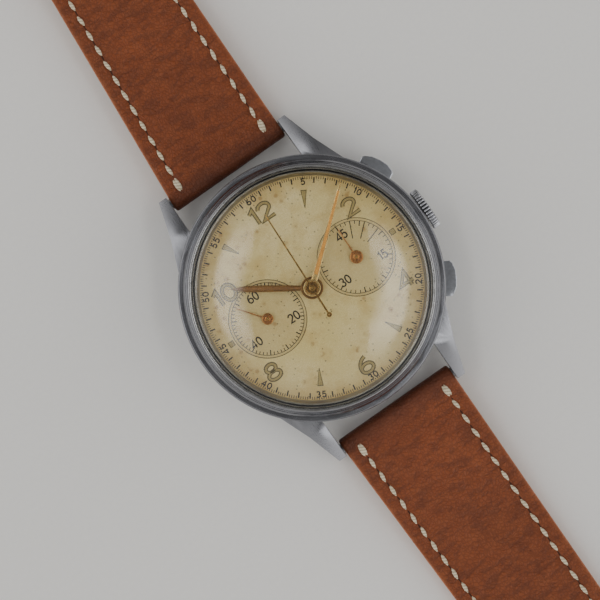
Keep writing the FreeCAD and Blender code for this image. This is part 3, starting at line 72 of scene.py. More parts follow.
LOG = logging.getLogger("chronograph")

Colour = tuple[float, float, float]
Point2 = tuple[float, float]
Point3 = tuple[float, float, float]
Obj = bpy.types.Object
Finish = bpy.types.Material
Socket = bpy.types.NodeSocket


# ---------------------------------------------------------------- small sums
def linear(red: int, green: int, blue: int) -> Colour:
    """Turn a display colour of 0 to 255 a channel into a linear one.

    Args:
        red: Red channel.
        green: Green channel.
        blue: Blue channel.

    Returns:
        The linear colour.
    """
    def channel(value: int) -> float:
        """Undo the display curve of one channel."""
        share = value / 255
        return share / 12.92 if share <= 0.04045 else ((share + 0.055) / 1.055) ** 2.4

    return channel(red), channel(green), channel(blue)


def scaled(colour: Colour, factor: float) -> Colour:
    """A colour made lighter or darker by a factor."""
    return tuple(min(1.0, part * factor) for part in colour)


def compass(angle: float) -> Vector:
    """Unit direction on the dial for a clockwise angle in degrees from twelve o'clock."""
    turn = math.radians(angle)
    return Vector((math.sin(turn), math.cos(turn)))


def mixed(low: float, high: float, share: float) -> float:
    """The value a share of the way from low to high."""
    return low + (high - low) * min(1.0, max(0.0, share))


def smoothed(share: float) -> float:
    """A share from 0 to 1 eased at both ends."""
    held = min(1.0, max(0.0, share))
    return held * held * (3 - 2 * held)


class Scatter:
    """A small repeatable source of uneven numbers."""

    FACTOR = 1103515245
    STEP = 12345
    SPAN = 2147483648

    def __init__(self, seed: int) -> None:
        """Start the series at a seed."""
        self.state = seed

    def between(self, low: float, high: float) -> float:
        """The next number of the series, between low and high."""
        self.state = (self.state * self.FACTOR + self.STEP) % self.SPAN
        return low + (high - low) * self.state / self.SPAN


# ---------------------------------------------------------------- making pieces
def piece(name: str, points: Sequence[Point3], faces: Sequence[Sequence[int]], crease: float = 35) -> Obj:
    """Make an object from points and faces, shaded smooth below a crease angle.

    Args:
        name: Name of the piece.
        points: Corner places in metres.
        faces: Corner numbers of each face.
        crease: Angle in degrees above which an edge stays sharp.

    Returns:
        The new object.
    """
    mesh = bpy.data.meshes.new(name)
    mesh.from_pydata([tuple(point) for point in points], [], [tuple(face) for face in faces])
    mesh.validate()
    obj = bpy.data.objects.new(name, mesh)
    bpy.context.scene.collection.objects.link(obj)
    tidy_normals(obj, crease)
    return obj


def tidy_normals(obj: Obj, crease: float) -> None:
    """Turn a closed mesh's faces outward and mark its edges sharp above the crease angle.

    Args:
        obj: The object to work on.
        crease: Angle in degrees.
    """
    shape = bmesh.new()
    shape.from_mesh(obj.data)
    bmesh.ops.recalc_face_normals(shape, faces=shape.faces)
    limit = math.radians(crease)
    for face in shape.faces:
        face.smooth = True
    for edge in shape.edges:
        edge.smooth = len(edge.link_faces) == 2 and edge.calc_face_angle(0.0) < limit
    shape.to_mesh(obj.data)
    shape.free()


def settle(obj: Obj) -> None:
    """Apply every modifier of an object to its mesh."""
    bpy.context.view_layer.update()
    graph = bpy.context.evaluated_depsgraph_get()
    mesh = bpy.data.meshes.new_from_object(obj.evaluated_get(graph))
    obj.modifiers.clear()
    obj.data = mesh


def carve(obj: Obj, tools: Iterable[Obj]) -> None:
    """Cut tools out of an object and throw the tools away.

    Args:
        obj: The object that is cut.
        tools: Closed objects to subtract.
    """
    tools = list(tools)
    for tool in tools:
        cut = obj.modifiers.new("cut", "BOOLEAN")
        cut.operation = "DIFFERENCE"
        cut.solver = "EXACT"
        cut.object = tool
    settle(obj)
    for tool in tools:
        bpy.data.objects.remove(tool)


def softened(node: str, name: str, radius: float, crease: float = 28, segments: int = 2) -> Obj:
    """Copy a CAD node's mesh and round its edges.

    Args:
        node: CAD node to copy.
        name: Name of the new piece.
        radius: Width of the rounding in millimetres.
        crease: Edges sharper than this many degrees are rounded.
        segments: Steps of the rounding.

    Returns:
        The new object, standing for the node.
    """
    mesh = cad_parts[node].data.copy()
    mesh.name = name
    mesh.materials.clear()
    obj = bpy.data.objects.new(name, mesh)
    bpy.context.scene.collection.objects.link(obj)
    shape = bmesh.new()
    shape.from_mesh(mesh)
    bmesh.ops.remove_doubles(shape, verts=shape.verts, dist=0.002 * MM)
    bmesh.ops.dissolve_limit(shape, angle_limit=math.radians(0.8), verts=shape.verts, edges=shape.edges)
    for edge in shape.edges:
        edge.smooth = True
    for face in shape.faces:
        face.smooth = True
    shape.to_mesh(mesh)
    shape.free()
    rounding = obj.modifiers.new("rounding", "BEVEL")
    rounding.width = radius * MM
    rounding.segments = segments
    rounding.limit_method = "ANGLE"
    rounding.angle_limit = math.radians(crease)
    rounding.use_clamp_overlap = True
    rounding.harden_normals = True
    settle(obj)
    tidy_normals(obj, crease + 12)
    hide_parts(node)
    return obj


def turned(name: str, profile: Sequence[Point2], steps: int = 144, middle: Point2 = (0, 0),
           crease: float = 35) -> Obj:
    """Turn a closed profile of (radius, height) points about an upright axis.

    Args:
        name: Name of the piece.
        profile: Outline points in millimetres, in order.
        steps: Faces round the axis.
        middle: Place of the axis in millimetres.
        crease: Angle in degrees above which an edge stays sharp.

    Returns:
        The new object.
    """
    points, faces, rings = [], [], []
    for radius, height in profile:
        if radius < 1e-6:
            rings.append([len(points)] * steps)
            points.append((middle[0] * MM, middle[1] * MM, height * MM))
            continue
        rings.append(list(range(len(points), len(points) + steps)))
        for step in range(steps):
            turn = FULL_TURN * step / steps
            points.append(((middle[0] + radius * math.cos(turn)) * MM,
                           (middle[1] + radius * math.sin(turn)) * MM, height * MM))
    for first, second in zip(rings, rings[1:] + rings[:1]):
        for step in range(steps):
            after = (step + 1) % steps
            corners = [first[step], first[after], second[after], second[step]]
            kept = [corner for place, corner in enumerate(corners) if corner not in corners[:place]]
            if len(kept) > 2:
                faces.append(kept)
    return piece(name, points, faces, crease)


def dress(obj: Obj, body: str, slot: str, *materials: Finish,
          stands_for: Sequence[str] = ()) -> Obj:
    """Give a piece its finishes, and tie it to a moving body.

    Args:
        obj: The piece.
        body: CAD body that it rides on.
        slot: Material slot of the record; not used.
        materials: Finishes, in the order of the mesh's material numbers.
        stands_for: CAD nodes that it replaces.

    Returns:
        The same piece.
    """
    obj.data.materials.clear()
    for material in materials:
        obj.data.materials.append(material)
    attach(obj, body)
    if stands_for:
        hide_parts(*stands_for)
    LOG.info("%s on %s: %d faces", obj.name, body, len(obj.data.polygons))
    return obj


def coat(node: str, material: Finish) -> None:
    """Put a finish on a CAD node that stays as it is."""
    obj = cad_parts[node]
    if not obj.material_slots:
        obj.data.materials.append(material)
    for slot in obj.material_slots:
        slot.material = material
    LOG.info("%s finished with %s", node, material.name)


# ---------------------------------------------------------------- finishes
class Desk:
    """Lays out the nodes of one tree."""

    def __init__(self, tree: bpy.types.NodeTree) -> None:
        """Work on a tree."""
        self.tree = tree

    def node(self, kind: str, **links: object) -> bpy.types.Node:
        """Add a node and set or feed its inputs by number or name.

        Args:
            kind: Node type without its ShaderNode prefix.
            links: Inputs as in0=…, in1=… or by name with _ for a space; sockets are linked, values set.

        Returns:
            The node.
        """
        made = self.tree.nodes.new("ShaderNode" + kind)
        for name, value in links.items():
            if name.startswith("in") and name[2:].isdigit():
                socket = made.inputs[int(name[2:])]
            else:
                socket = made.inputs[name.replace("_", " ")]
            if isinstance(value, Socket):
                self.tree.links.new(value, socket)
            else:
                socket.default_value = value
        return made

    def sum(self, operation: str, *terms: object) -> Socket:
        """A Math node.

        Args:
            operation: Blender's name for the sum.
            terms: Numbers or sockets.

        Returns:
            The result.
        """
        made = self.node("Math", **{"in%d" % place: term for place, term in enumerate(terms)})
        made.operation = operation
        return made.outputs[0]

    def plus(self, first: object, second: object) -> Socket:
        """Two numbers or sockets added."""
        return self.sum("ADD", first, second)

    def minus(self, first: object, second: object) -> Socket:
        """The second taken from the first."""
        return self.sum("SUBTRACT", first, second)

    def times(self, first: object, second: object) -> Socket:
        """Two numbers or sockets multiplied."""
        return self.sum("MULTIPLY", first, second)

    def ramp(self, value: Socket, low: float, high: float, start: float = 0.0, end: float = 1.0) -> Socket:
        """Stretch a value's span from low…high to start…end, held at both ends."""
        made = self.node("MapRange", in0=value, in1=low, in2=high, in3=start, in4=end)
        made.clamp = True
        return made.outputs[0]

    def blend(self, share: object, first: object, second: object) -> Socket:
        """Mix two colours by a share.

        Args:
            share: 0 gives first and 1 gives second.
            first: Colour or socket.
            second: Colour or socket.

        Returns:
            The mixed colour.
        """
        made = self.tree.nodes.new("ShaderNodeMix")
        made.data_type = "RGBA"
        for socket, value in ((made.inputs[0], share), (made.inputs[6], first), (made.inputs[7], second)):
            if isinstance(value, Socket):
                self.tree.links.new(value, socket)
            else:
                socket.default_value = (*value, 1.0) if isinstance(value, tuple) else value
        return made.outputs[2]


class Palette(Desk):
    """Builds one material's node tree round a Principled shader."""

    def __init__(self, name: str) -> None:
        """Start a material with one Principled shader."""
        self.material = bpy.data.materials.new(name)
        self.material.use_nodes = True
        super().__init__(self.material.node_tree)
        self.tree.nodes.clear()
        self.output = self.tree.nodes.new("ShaderNodeOutputMaterial")
        self.shader = self.tree.nodes.new("ShaderNodeBsdfPrincipled")
        self.tree.links.new(self.shader.outputs[0], self.output.inputs["Surface"])

    def set(self, **values: object) -> None:
        """Set the shader's sockets by name, with _ for a space."""
        for name, value in values.items():
            socket = self.shader.inputs[name.replace("_", " ")]
            socket.default_value = (*value, 1.0) if isinstance(value, tuple) else value

    def join(self, source: Socket, name: str) -> None:
        """Feed one of the shader's sockets."""
        self.tree.links.new(source, self.shader.inputs[name])

    def place(self) -> Socket:
        """The surface point in the watch's own frame, in metres."""
        return self.node("TexCoord").outputs["Object"]

    def stretched(self, scales: Point3, source: Optional[Socket] = None) -> Socket:
        """The surface point with each axis multiplied.

        Args:
            scales: Factor of each axis.
            source: Point to stretch, or the surface point.

        Returns:
            The stretched point.
        """
        made = self.node("VectorMath", in0=source or self.place(), in1=scales)
        made.operation = "MULTIPLY"
        return made.outputs[0]

    def round_about(self, middle: Point2, scales: Point3) -> Socket:
        """Polar places about an upright axis, for turned and circular-grained faces.

        Args:
            middle: Axis place in millimetres.
            scales: Factors of radius, turn and height.

        Returns:
            A point whose axes are radius, turn and height.
        """
        moved = self.node("VectorMath", in0=self.place(), in1=(-middle[0] * MM, -middle[1] * MM, 0))
        parts = self.node("SeparateXYZ", in0=moved.outputs[0])
        across, along, up = parts.outputs
        radius = self.sum("SQRT", self.plus(self.times(across, across),
                                           self.times(along, along)))
        turn = self.sum("ARCTAN2", along, across)
        joined = self.node("CombineXYZ", in0=self.times(radius, scales[0]),
                           in1=self.times(turn, scales[1]), in2=self.times(up, scales[2]))
        return joined.outputs[0]

    def noise(self, scale: float, detail: float = 3, source: Optional[Socket] = None,
              rough: float = 0.5) -> Socket:
        """Cloudy values from 0 to 1.

        Args:
            scale: Cycles per metre, or per unit of source.
            detail: Octaves.
            source: Point to read, or the surface point.
            rough: Weight of the finer octaves.

        Returns:
            The value.
        """
        return self.node("TexNoise", Vector=source or self.place(), Scale=scale, Detail=detail,
                         Roughness=rough).outputs["Fac"]

    def cells(self, scale: float, feature: str = "F1",
              source: Optional[Socket] = None) -> Socket:
        """Distance to the nearest cell point or edge.

        Args:
            scale: Cells per metre.
            feature: Blender's name for the distance.
            source: Point to read, or the surface point.

        Returns:
            The distance, in cells.
        """
        made = self.node("TexVoronoi", Vector=source or self.place(), Scale=scale)
        made.feature = feature
        return made.outputs["Distance"]

    def relief(self, depth: float, height: Socket, strength: float = 1.0,
               under: Optional[Socket] = None) -> Socket:
        """Bump the surface.

        Args:
            depth: Millimetres between height 0 and 1.
            height: The height value.
            strength: Share of the bump that shows.
            under: Normal from a coarser bump.

        Returns:
            The bumped normal.
        """
        made = self.node("Bump", Strength=strength, Distance=depth * MM, Height=height)
        if under is not None:
            self.tree.links.new(under, made.inputs["Normal"])
        return made.outputs[0]


class Grain(Enum):
    """Which way a metal's fine scratches run."""

    ROUND = "round the dial's axis"
    ALONG = "along the strap"
    ACROSS = "across the strap"
    UPRIGHT = "up and down"
    NONE = "polished, with no direction"


@dataclass(frozen=True)
class Metal:
    """A worn metal with directional grain, hairlines and faint tarnish."""

    name: str
    colour: Colour
    stain: Colour
    roughness: float
    grain: Grain = Grain.NONE
    grain_depth: float = 0.004
    stain_share: float = 0.35
    middle: Point2 = (0, 0)
    metallic: float = 1.0
    spread: float = 0.25
    hairline_depth: float = 0.0015

    def grain_place(self, palette: Palette) -> Socket:
        """Where the grain noise is read, so that it is long one way and fine the other."""
        if self.grain is Grain.ROUND:
            return palette.round_about(self.middle, (14000, 9, 9000))
        scales = {
            Grain.ALONG: (16000, 350, 16000),
            Grain.ACROSS: (350, 16000, 16000),
            Grain.UPRIGHT: (16000, 16000, 350),
            Grain.NONE: (900, 900, 900),
        }
        return palette.stretched(scales[self.grain])

    def aged(self, palette: Palette, colour: Socket) -> Socket:
        """The colour with any painted shade laid over it. A plain metal has none."""
        return colour

    def make(self) -> Finish:
        """Build the material."""
        palette = Palette(self.name)
        palette.set(Metallic=self.metallic)
        grain = palette.noise(1.0, 4, self.grain_place(palette), 0.6)
        cloud = palette.noise(260, 4)
        specks = palette.noise(2600, 3)
        stain = palette.ramp(palette.plus(cloud, palette.times(specks, 0.35)), 0.55, 0.95)
        stain = palette.times(stain, self.stain_share)
        shade = palette.blend(palette.ramp(grain, 0.25, 0.75), scaled(self.colour, 0.86),
                              scaled(self.colour, 1.08))
        # Any painted shade that a subclass lays on is added to the colour here.
        palette.join(self.aged(palette, palette.blend(stain, shade, self.stain)), "Base Color")
        low, high = self.roughness * (1 - self.spread), self.roughness * (1 + self.spread)
        uneven = palette.plus(palette.times(grain, 0.6), palette.times(cloud, 0.4))
        palette.join(palette.ramp(uneven, 0.3, 0.7, low, high), "Roughness")
        hair = palette.ramp(palette.noise(1.0, 2, palette.stretched((420, 5200, 2400))), 0.66, 0.72)
        cross = palette.ramp(palette.noise(1.0, 2, palette.stretched((4700, 380, 2100))), 0.67, 0.73)
        normal = palette.relief(self.grain_depth, grain, 0.6)
        normal = palette.relief(self.hairline_depth, palette.sum("MAXIMUM", hair, cross), 0.25, normal)
        palette.join(normal, "Normal")
        return palette.material


@dataclass(frozen=True)
class FlutedMetal(Metal):
    """Crown steel with painted shade darkening the roots of its flutes."""

    axis_height: float = 4.4
    root: float = 2.62
    crest: float = 2.9
    grime: float = 0.65
    clean_from: float = 19.18
    clean_to: float = 19.2

    def aged(self, palette: Palette, colour: Socket) -> Socket:
        """The colour, with painted shade darkening it towards the roots of the flutes, and none on the end
        face.
        """
        parts = palette.node("SeparateXYZ", in0=palette.place()).outputs
        lift = palette.minus(parts[2], self.axis_height * MM)
        square = palette.plus(palette.times(parts[1], parts[1]), palette.times(lift, lift))
        # Painted shade: darker towards the flute roots, with the stain colour standing for the shade, and
        # none on the crown's end face.
        depth = palette.ramp(palette.sum("SQRT", square), self.root * MM, self.crest * MM, self.grime, 0)
        side = palette.ramp(parts[0], self.clean_from * MM, self.clean_to * MM, 1, 0)
        return palette.blend(palette.times(depth, side), colour, self.stain)


@dataclass(frozen=True)
class Striped:
    """Gilt plate with broad polished stripes, as on a finished movement."""

    name: str
    colour: Colour
    pitch: float = 1.5
    roughness: float = 0.3

    def make(self) -> Finish:
        """Build the material."""
        palette = Palette(self.name)
        palette.set(Metallic=1.0)
        parts = palette.node("SeparateXYZ", in0=palette.place())
        wave = palette.sum("SINE", palette.times(parts.outputs[0], FULL_TURN / (self.pitch * MM)))
        stripe = palette.ramp(wave, -1, 1)
        frost = palette.noise(22000, 2)
        palette.join(palette.blend(stripe, scaled(self.colour, 0.8), scaled(self.colour, 1.1)), "Base Color")
        palette.join(palette.ramp(frost, 0.3, 0.7, self.roughness * 0.8, self.roughness * 1.4), "Roughness")
        normal = palette.relief(0.02, stripe, 0.5)
        palette.join(palette.relief(0.004, frost, 0.6, normal), "Normal")
        return palette.material


@dataclass(frozen=True)
class DialPaint:
    """Aged cream lacquer, foxed and yellower at its edge, with turned rings in both counters."""

    name: str = "dial_cream"
    cream: Colour = linear(220, 202, 134)
    pale: Colour = linear(234, 219, 162)
    honey: Colour = linear(190, 154, 72)
    ochre: Colour = linear(150, 104, 44)
    umber: Colour = linear(74, 58, 36)
    counter: Colour = linear(198, 180, 124)
    counter_radius: float = 5.15
    counter_offset: float = 7.2
    ring_pitch: float = 0.21
    ring_depth: float = 0.006

    def counter_distance(self, palette: Palette, side: int) -> Socket:
        """Distance in metres from one counter's centre."""
        place = palette.round_about((side * self.counter_offset, 0), (1, 1, 1))
        return palette.node("SeparateXYZ", in0=place).outputs[0]

    def make(self) -> Finish:
        """Build the material."""
        palette = Palette(self.name)
        palette.set(Specular_IOR_Level=0.35)
        radius = palette.node("SeparateXYZ", in0=palette.round_about((0, 0), (1, 1, 1))).outputs[0]
        cloud = palette.noise(95, 4)
        patches = palette.noise(330, 4, rough=0.6)
        grain = palette.noise(5200, 3)
        base = palette.blend(palette.ramp(cloud, 0.35, 0.65), self.cream, self.pale)
        rim = palette.ramp(palette.plus(radius, palette.times(patches, 0.0022)), 0.0135, 0.0165)
        base = palette.blend(palette.times(rim, 0.6), base, self.honey)
        base = palette.blend(palette.ramp(patches, 0.46, 0.72, 0, 0.55), base, self.honey)
        near = palette.sum("MINIMUM", self.counter_distance(palette, -1), self.counter_distance(palette, 1))
        inside = palette.sum("LESS_THAN", near, self.counter_radius * MM)
        base = palette.blend(palette.times(inside, 0.55), base, self.counter)
        base = palette.blend(palette.ramp(grain, 0.3, 0.7, 0, 0.34), base, self.honey)
        fox = palette.times(palette.ramp(palette.cells(780), 0.3, 0.16), palette.ramp(patches, 0.5, 0.62))
        base = palette.blend(palette.times(fox, 0.55), base, self.ochre)
        speck_mask = palette.ramp(palette.noise(620, 2), 0.42, 0.54)
        specks = palette.times(palette.ramp(palette.cells(1500), 0.2, 0.1), speck_mask)
        base = palette.blend(palette.times(specks, 0.7), base, self.umber)
        palette.join(base, "Base Color")
        palette.join(palette.ramp(patches, 0.3, 0.7, 0.42, 0.62), "Roughness")
        rings = palette.sum("SINE", palette.times(near, FULL_TURN / (self.ring_pitch * MM)))
        rings = palette.times(palette.ramp(rings, -1, 1), inside)
        normal = palette.relief(self.ring_depth, rings, 0.8)
        palette.join(palette.relief(0.006, palette.plus(grain, fox), 0.5, normal), "Normal")
        return palette.material


@dataclass(frozen=True)
class Print:
    """Printed ink or lume, worn thin in places; also the dark of hub bores and needle holes, painted as
    shadow.
    """

    name: str
    ink: Colour
    worn: Colour
    wear: float = 0.35
    roughness: float = 0.6

    def make(self) -> Finish:
        """Build the material."""
        palette = Palette(self.name)
        palette.set(Specular_IOR_Level=0.3)
        thin = palette.ramp(palette.noise(1700, 4, rough=0.65), 0.5, 0.72, 0, self.wear)
        grain = palette.noise(9000, 3)
        shade = palette.blend(palette.ramp(grain, 0.3, 0.7), scaled(self.ink, 0.8), scaled(self.ink, 1.25))
        palette.join(palette.blend(thin, shade, self.worn), "Base Color")
        low, high = self.roughness * 0.85, self.roughness * 1.15
        palette.join(palette.ramp(grain, 0.3, 0.7, low, high), "Roughness")
        palette.join(palette.relief(0.01, grain, 0.5), "Normal")
        return palette.material


@dataclass(frozen=True)
class Leather:
    """Fine-grained calf, rubbed lighter along its edges, and darkened with painted shade where it rolls
    round the bar.
    """

    name: str
    tan: Colour
    light: Colour
    dark: Colour
    pebble: float = 2000
    depth: float = 0.07
    roughness: float = 0.52

    def make(self) -> Finish:
        """Build the material, lighter where the mesh's edge value is 1 and darker, as painted shade, where
        its value for the loop is 1.
        """
        palette = Palette(self.name)
        palette.set(Specular_IOR_Level=0.38, Sheen_Weight=0.06)
        edge = palette.node("Attribute")
        edge.attribute_name = "edge"
        # Painted shade near the loop round the spring bar is read from the mesh's loop value.
        loop_shade = palette.node("Attribute")
        loop_shade.attribute_name = "loop_shade"
        warp = palette.node("TexNoise", Vector=palette.place(), Scale=900.0, Detail=2.0)
        bent = palette.node("VectorMath", in0=warp.outputs["Color"], in1=(0.0006, 0.0006, 0.0006))
        bent.operation = "MULTIPLY"
        moved = palette.node("VectorMath", in0=palette.place(), in1=bent.outputs[0]).outputs[0]
        pebbles = palette.ramp(palette.cells(self.pebble, "DISTANCE_TO_EDGE", moved), 0.0, 0.28)
        fine = palette.ramp(palette.cells(self.pebble * 2.3, "DISTANCE_TO_EDGE", moved), 0.0, 0.3)
        cloud = palette.noise(120, 4, rough=0.6)
        mottle = palette.noise(700, 4)
        creases = palette.ramp(palette.noise(1.0, 4, palette.stretched((420, 1100, 600)), 0.6), 0.42, 0.5)
        base = palette.blend(palette.ramp(cloud, 0.3, 0.7), scaled(self.tan, 0.86), scaled(self.tan, 1.14))
        base = palette.blend(palette.ramp(mottle, 0.4, 0.75, 0, 0.3), base, self.light)
        base = palette.blend(palette.ramp(pebbles, 0.0, 0.6, 0.36, 0), base, self.dark)
        base = palette.blend(palette.ramp(creases, 0, 1, 0.3, 0), base, self.dark)
        rub = palette.times(palette.ramp(edge.outputs["Fac"], 0.55, 1.0, 0, 0.6),
                          palette.ramp(mottle, 0.3, 0.6, 0.5, 1.0))
        base = palette.blend(rub, base, self.light)
        # Painted shade: the leather is darkened on and near the loop round the bar, under the lugs.
        base = palette.blend(palette.times(loop_shade.outputs["Fac"], 0.62), base, self.dark)
        palette.join(base, "Base Color")
        rough = palette.ramp(palette.plus(pebbles, cloud), 0.4, 1.5, self.roughness * 1.25,
                             self.roughness * 0.8)
        palette.join(rough, "Roughness")
        normal = palette.relief(self.depth, pebbles, 0.8)
        normal = palette.relief(self.depth * 0.5, fine, 0.6, normal)
        normal = palette.relief(self.depth * 1.6, creases, 0.45, normal)
        palette.join(palette.relief(0.4, cloud, 0.25, normal), "Normal")
        return palette.material


@dataclass(frozen=True)
class Thread:
    """Waxed linen thread with its twist."""

    name: str = "linen_thread"
    flax: Colour = linear(226, 214, 186)
    shade: Colour = linear(172, 156, 126)
    twist: float = 5200

    def make(self) -> Finish:
        """Build the material."""
        palette = Palette(self.name)
        palette.set(Specular_IOR_Level=0.3, Sheen_Weight=0.25)
        parts = palette.node("SeparateXYZ", in0=palette.place())
        slant = palette.plus(palette.times(parts.outputs[0], self.twist * 1.4),
                            palette.times(parts.outputs[1], self.twist * 2.6))
        ply = palette.ramp(palette.sum("SINE", slant), -1, 1)
        fuzz = palette.noise(14000, 3)
        share = palette.plus(palette.times(ply, 0.6), palette.times(fuzz, 0.4))
        palette.join(palette.blend(palette.ramp(share, 0.15, 0.6), self.shade, self.flax), "Base Color")
        palette.join(palette.ramp(fuzz, 0.3, 0.7, 0.65, 0.9), "Roughness")
        palette.join(palette.relief(0.05, share, 0.7), "Normal")
        return palette.material


@dataclass(frozen=True)
class Acrylic:
    """Clear domed plastic with the faint scratches of wear."""

    name: str = "acrylic_crystal"
    tint: Colour = (0.985, 0.98, 0.965)
    bend: float = 1.49
    roughness: float = 0.015

    def make(self) -> Finish:
        """Build the material. Lamps reach through it to the dial."""
        palette = Palette(self.name)
        palette.set(Base_Color=self.tint, Transmission_Weight=1.0, IOR=self.bend)
        hair = palette.ramp(palette.noise(1.0, 2, palette.stretched((300, 4200, 300))), 0.68, 0.74)
        cross = palette.ramp(palette.noise(1.0, 2, palette.stretched((3900, 260, 300))), 0.69, 0.75)
        scratch = palette.sum("MAXIMUM", hair, cross)
        haze = palette.noise(400, 3)
        palette.join(palette.ramp(haze, 0.4, 0.8, self.roughness, self.roughness * 4), "Roughness")
        palette.join(palette.relief(0.002, scratch, 0.3), "Normal")
        clear = palette.node("BsdfTransparent")
        path = palette.node("LightPath")
        mix = palette.node("MixShader", in0=path.outputs["Is Shadow Ray"], in1=palette.shader.outputs[0],
                           in2=clear.outputs[0])
        palette.tree.links.new(mix.outputs[0], palette.output.inputs["Surface"])
        return palette.material


@dataclass(frozen=True)
class Rubber:
    """Dull black sealing rubber."""

    name: str = "black_rubber"
    colour: Colour = linear(34, 33, 32)

    def make(self) -> Finish:
        """Build the material."""
        palette = Palette(self.name)
        grain = palette.noise(6000, 3)
        palette.join(palette.blend(grain, scaled(self.colour, 0.7), scaled(self.colour, 1.4)), "Base Color")
        palette.join(palette.ramp(grain, 0.3, 0.7, 0.65, 0.85), "Roughness")
        palette.join(palette.relief(0.01, grain, 0.5), "Normal")
        return palette.material


@dataclass(frozen=True)
class PaleCard:
    """The studio floor: matt card with a very faint tooth."""

    name: str = "pale_card"
    colour: Colour = linear(240, 239, 236)

    def make(self) -> Finish:
        """Build the material."""
        palette = Palette(self.name)
        palette.set(Specular_IOR_Level=0.2)
        tooth = palette.noise(1500, 3)
        shade = palette.blend(tooth, scaled(self.colour, 0.97), scaled(self.colour, 1.02))
        palette.join(shade, "Base Color")
        palette.set(Roughness=0.85)
        palette.join(palette.relief(0.02, tooth, 0.3), "Normal")
        return palette.material


STEEL = linear(154, 155, 160)
DARK_STAIN = linear(96, 90, 82)
GOLD = linear(250, 222, 150)
TAN = linear(129, 62, 24)


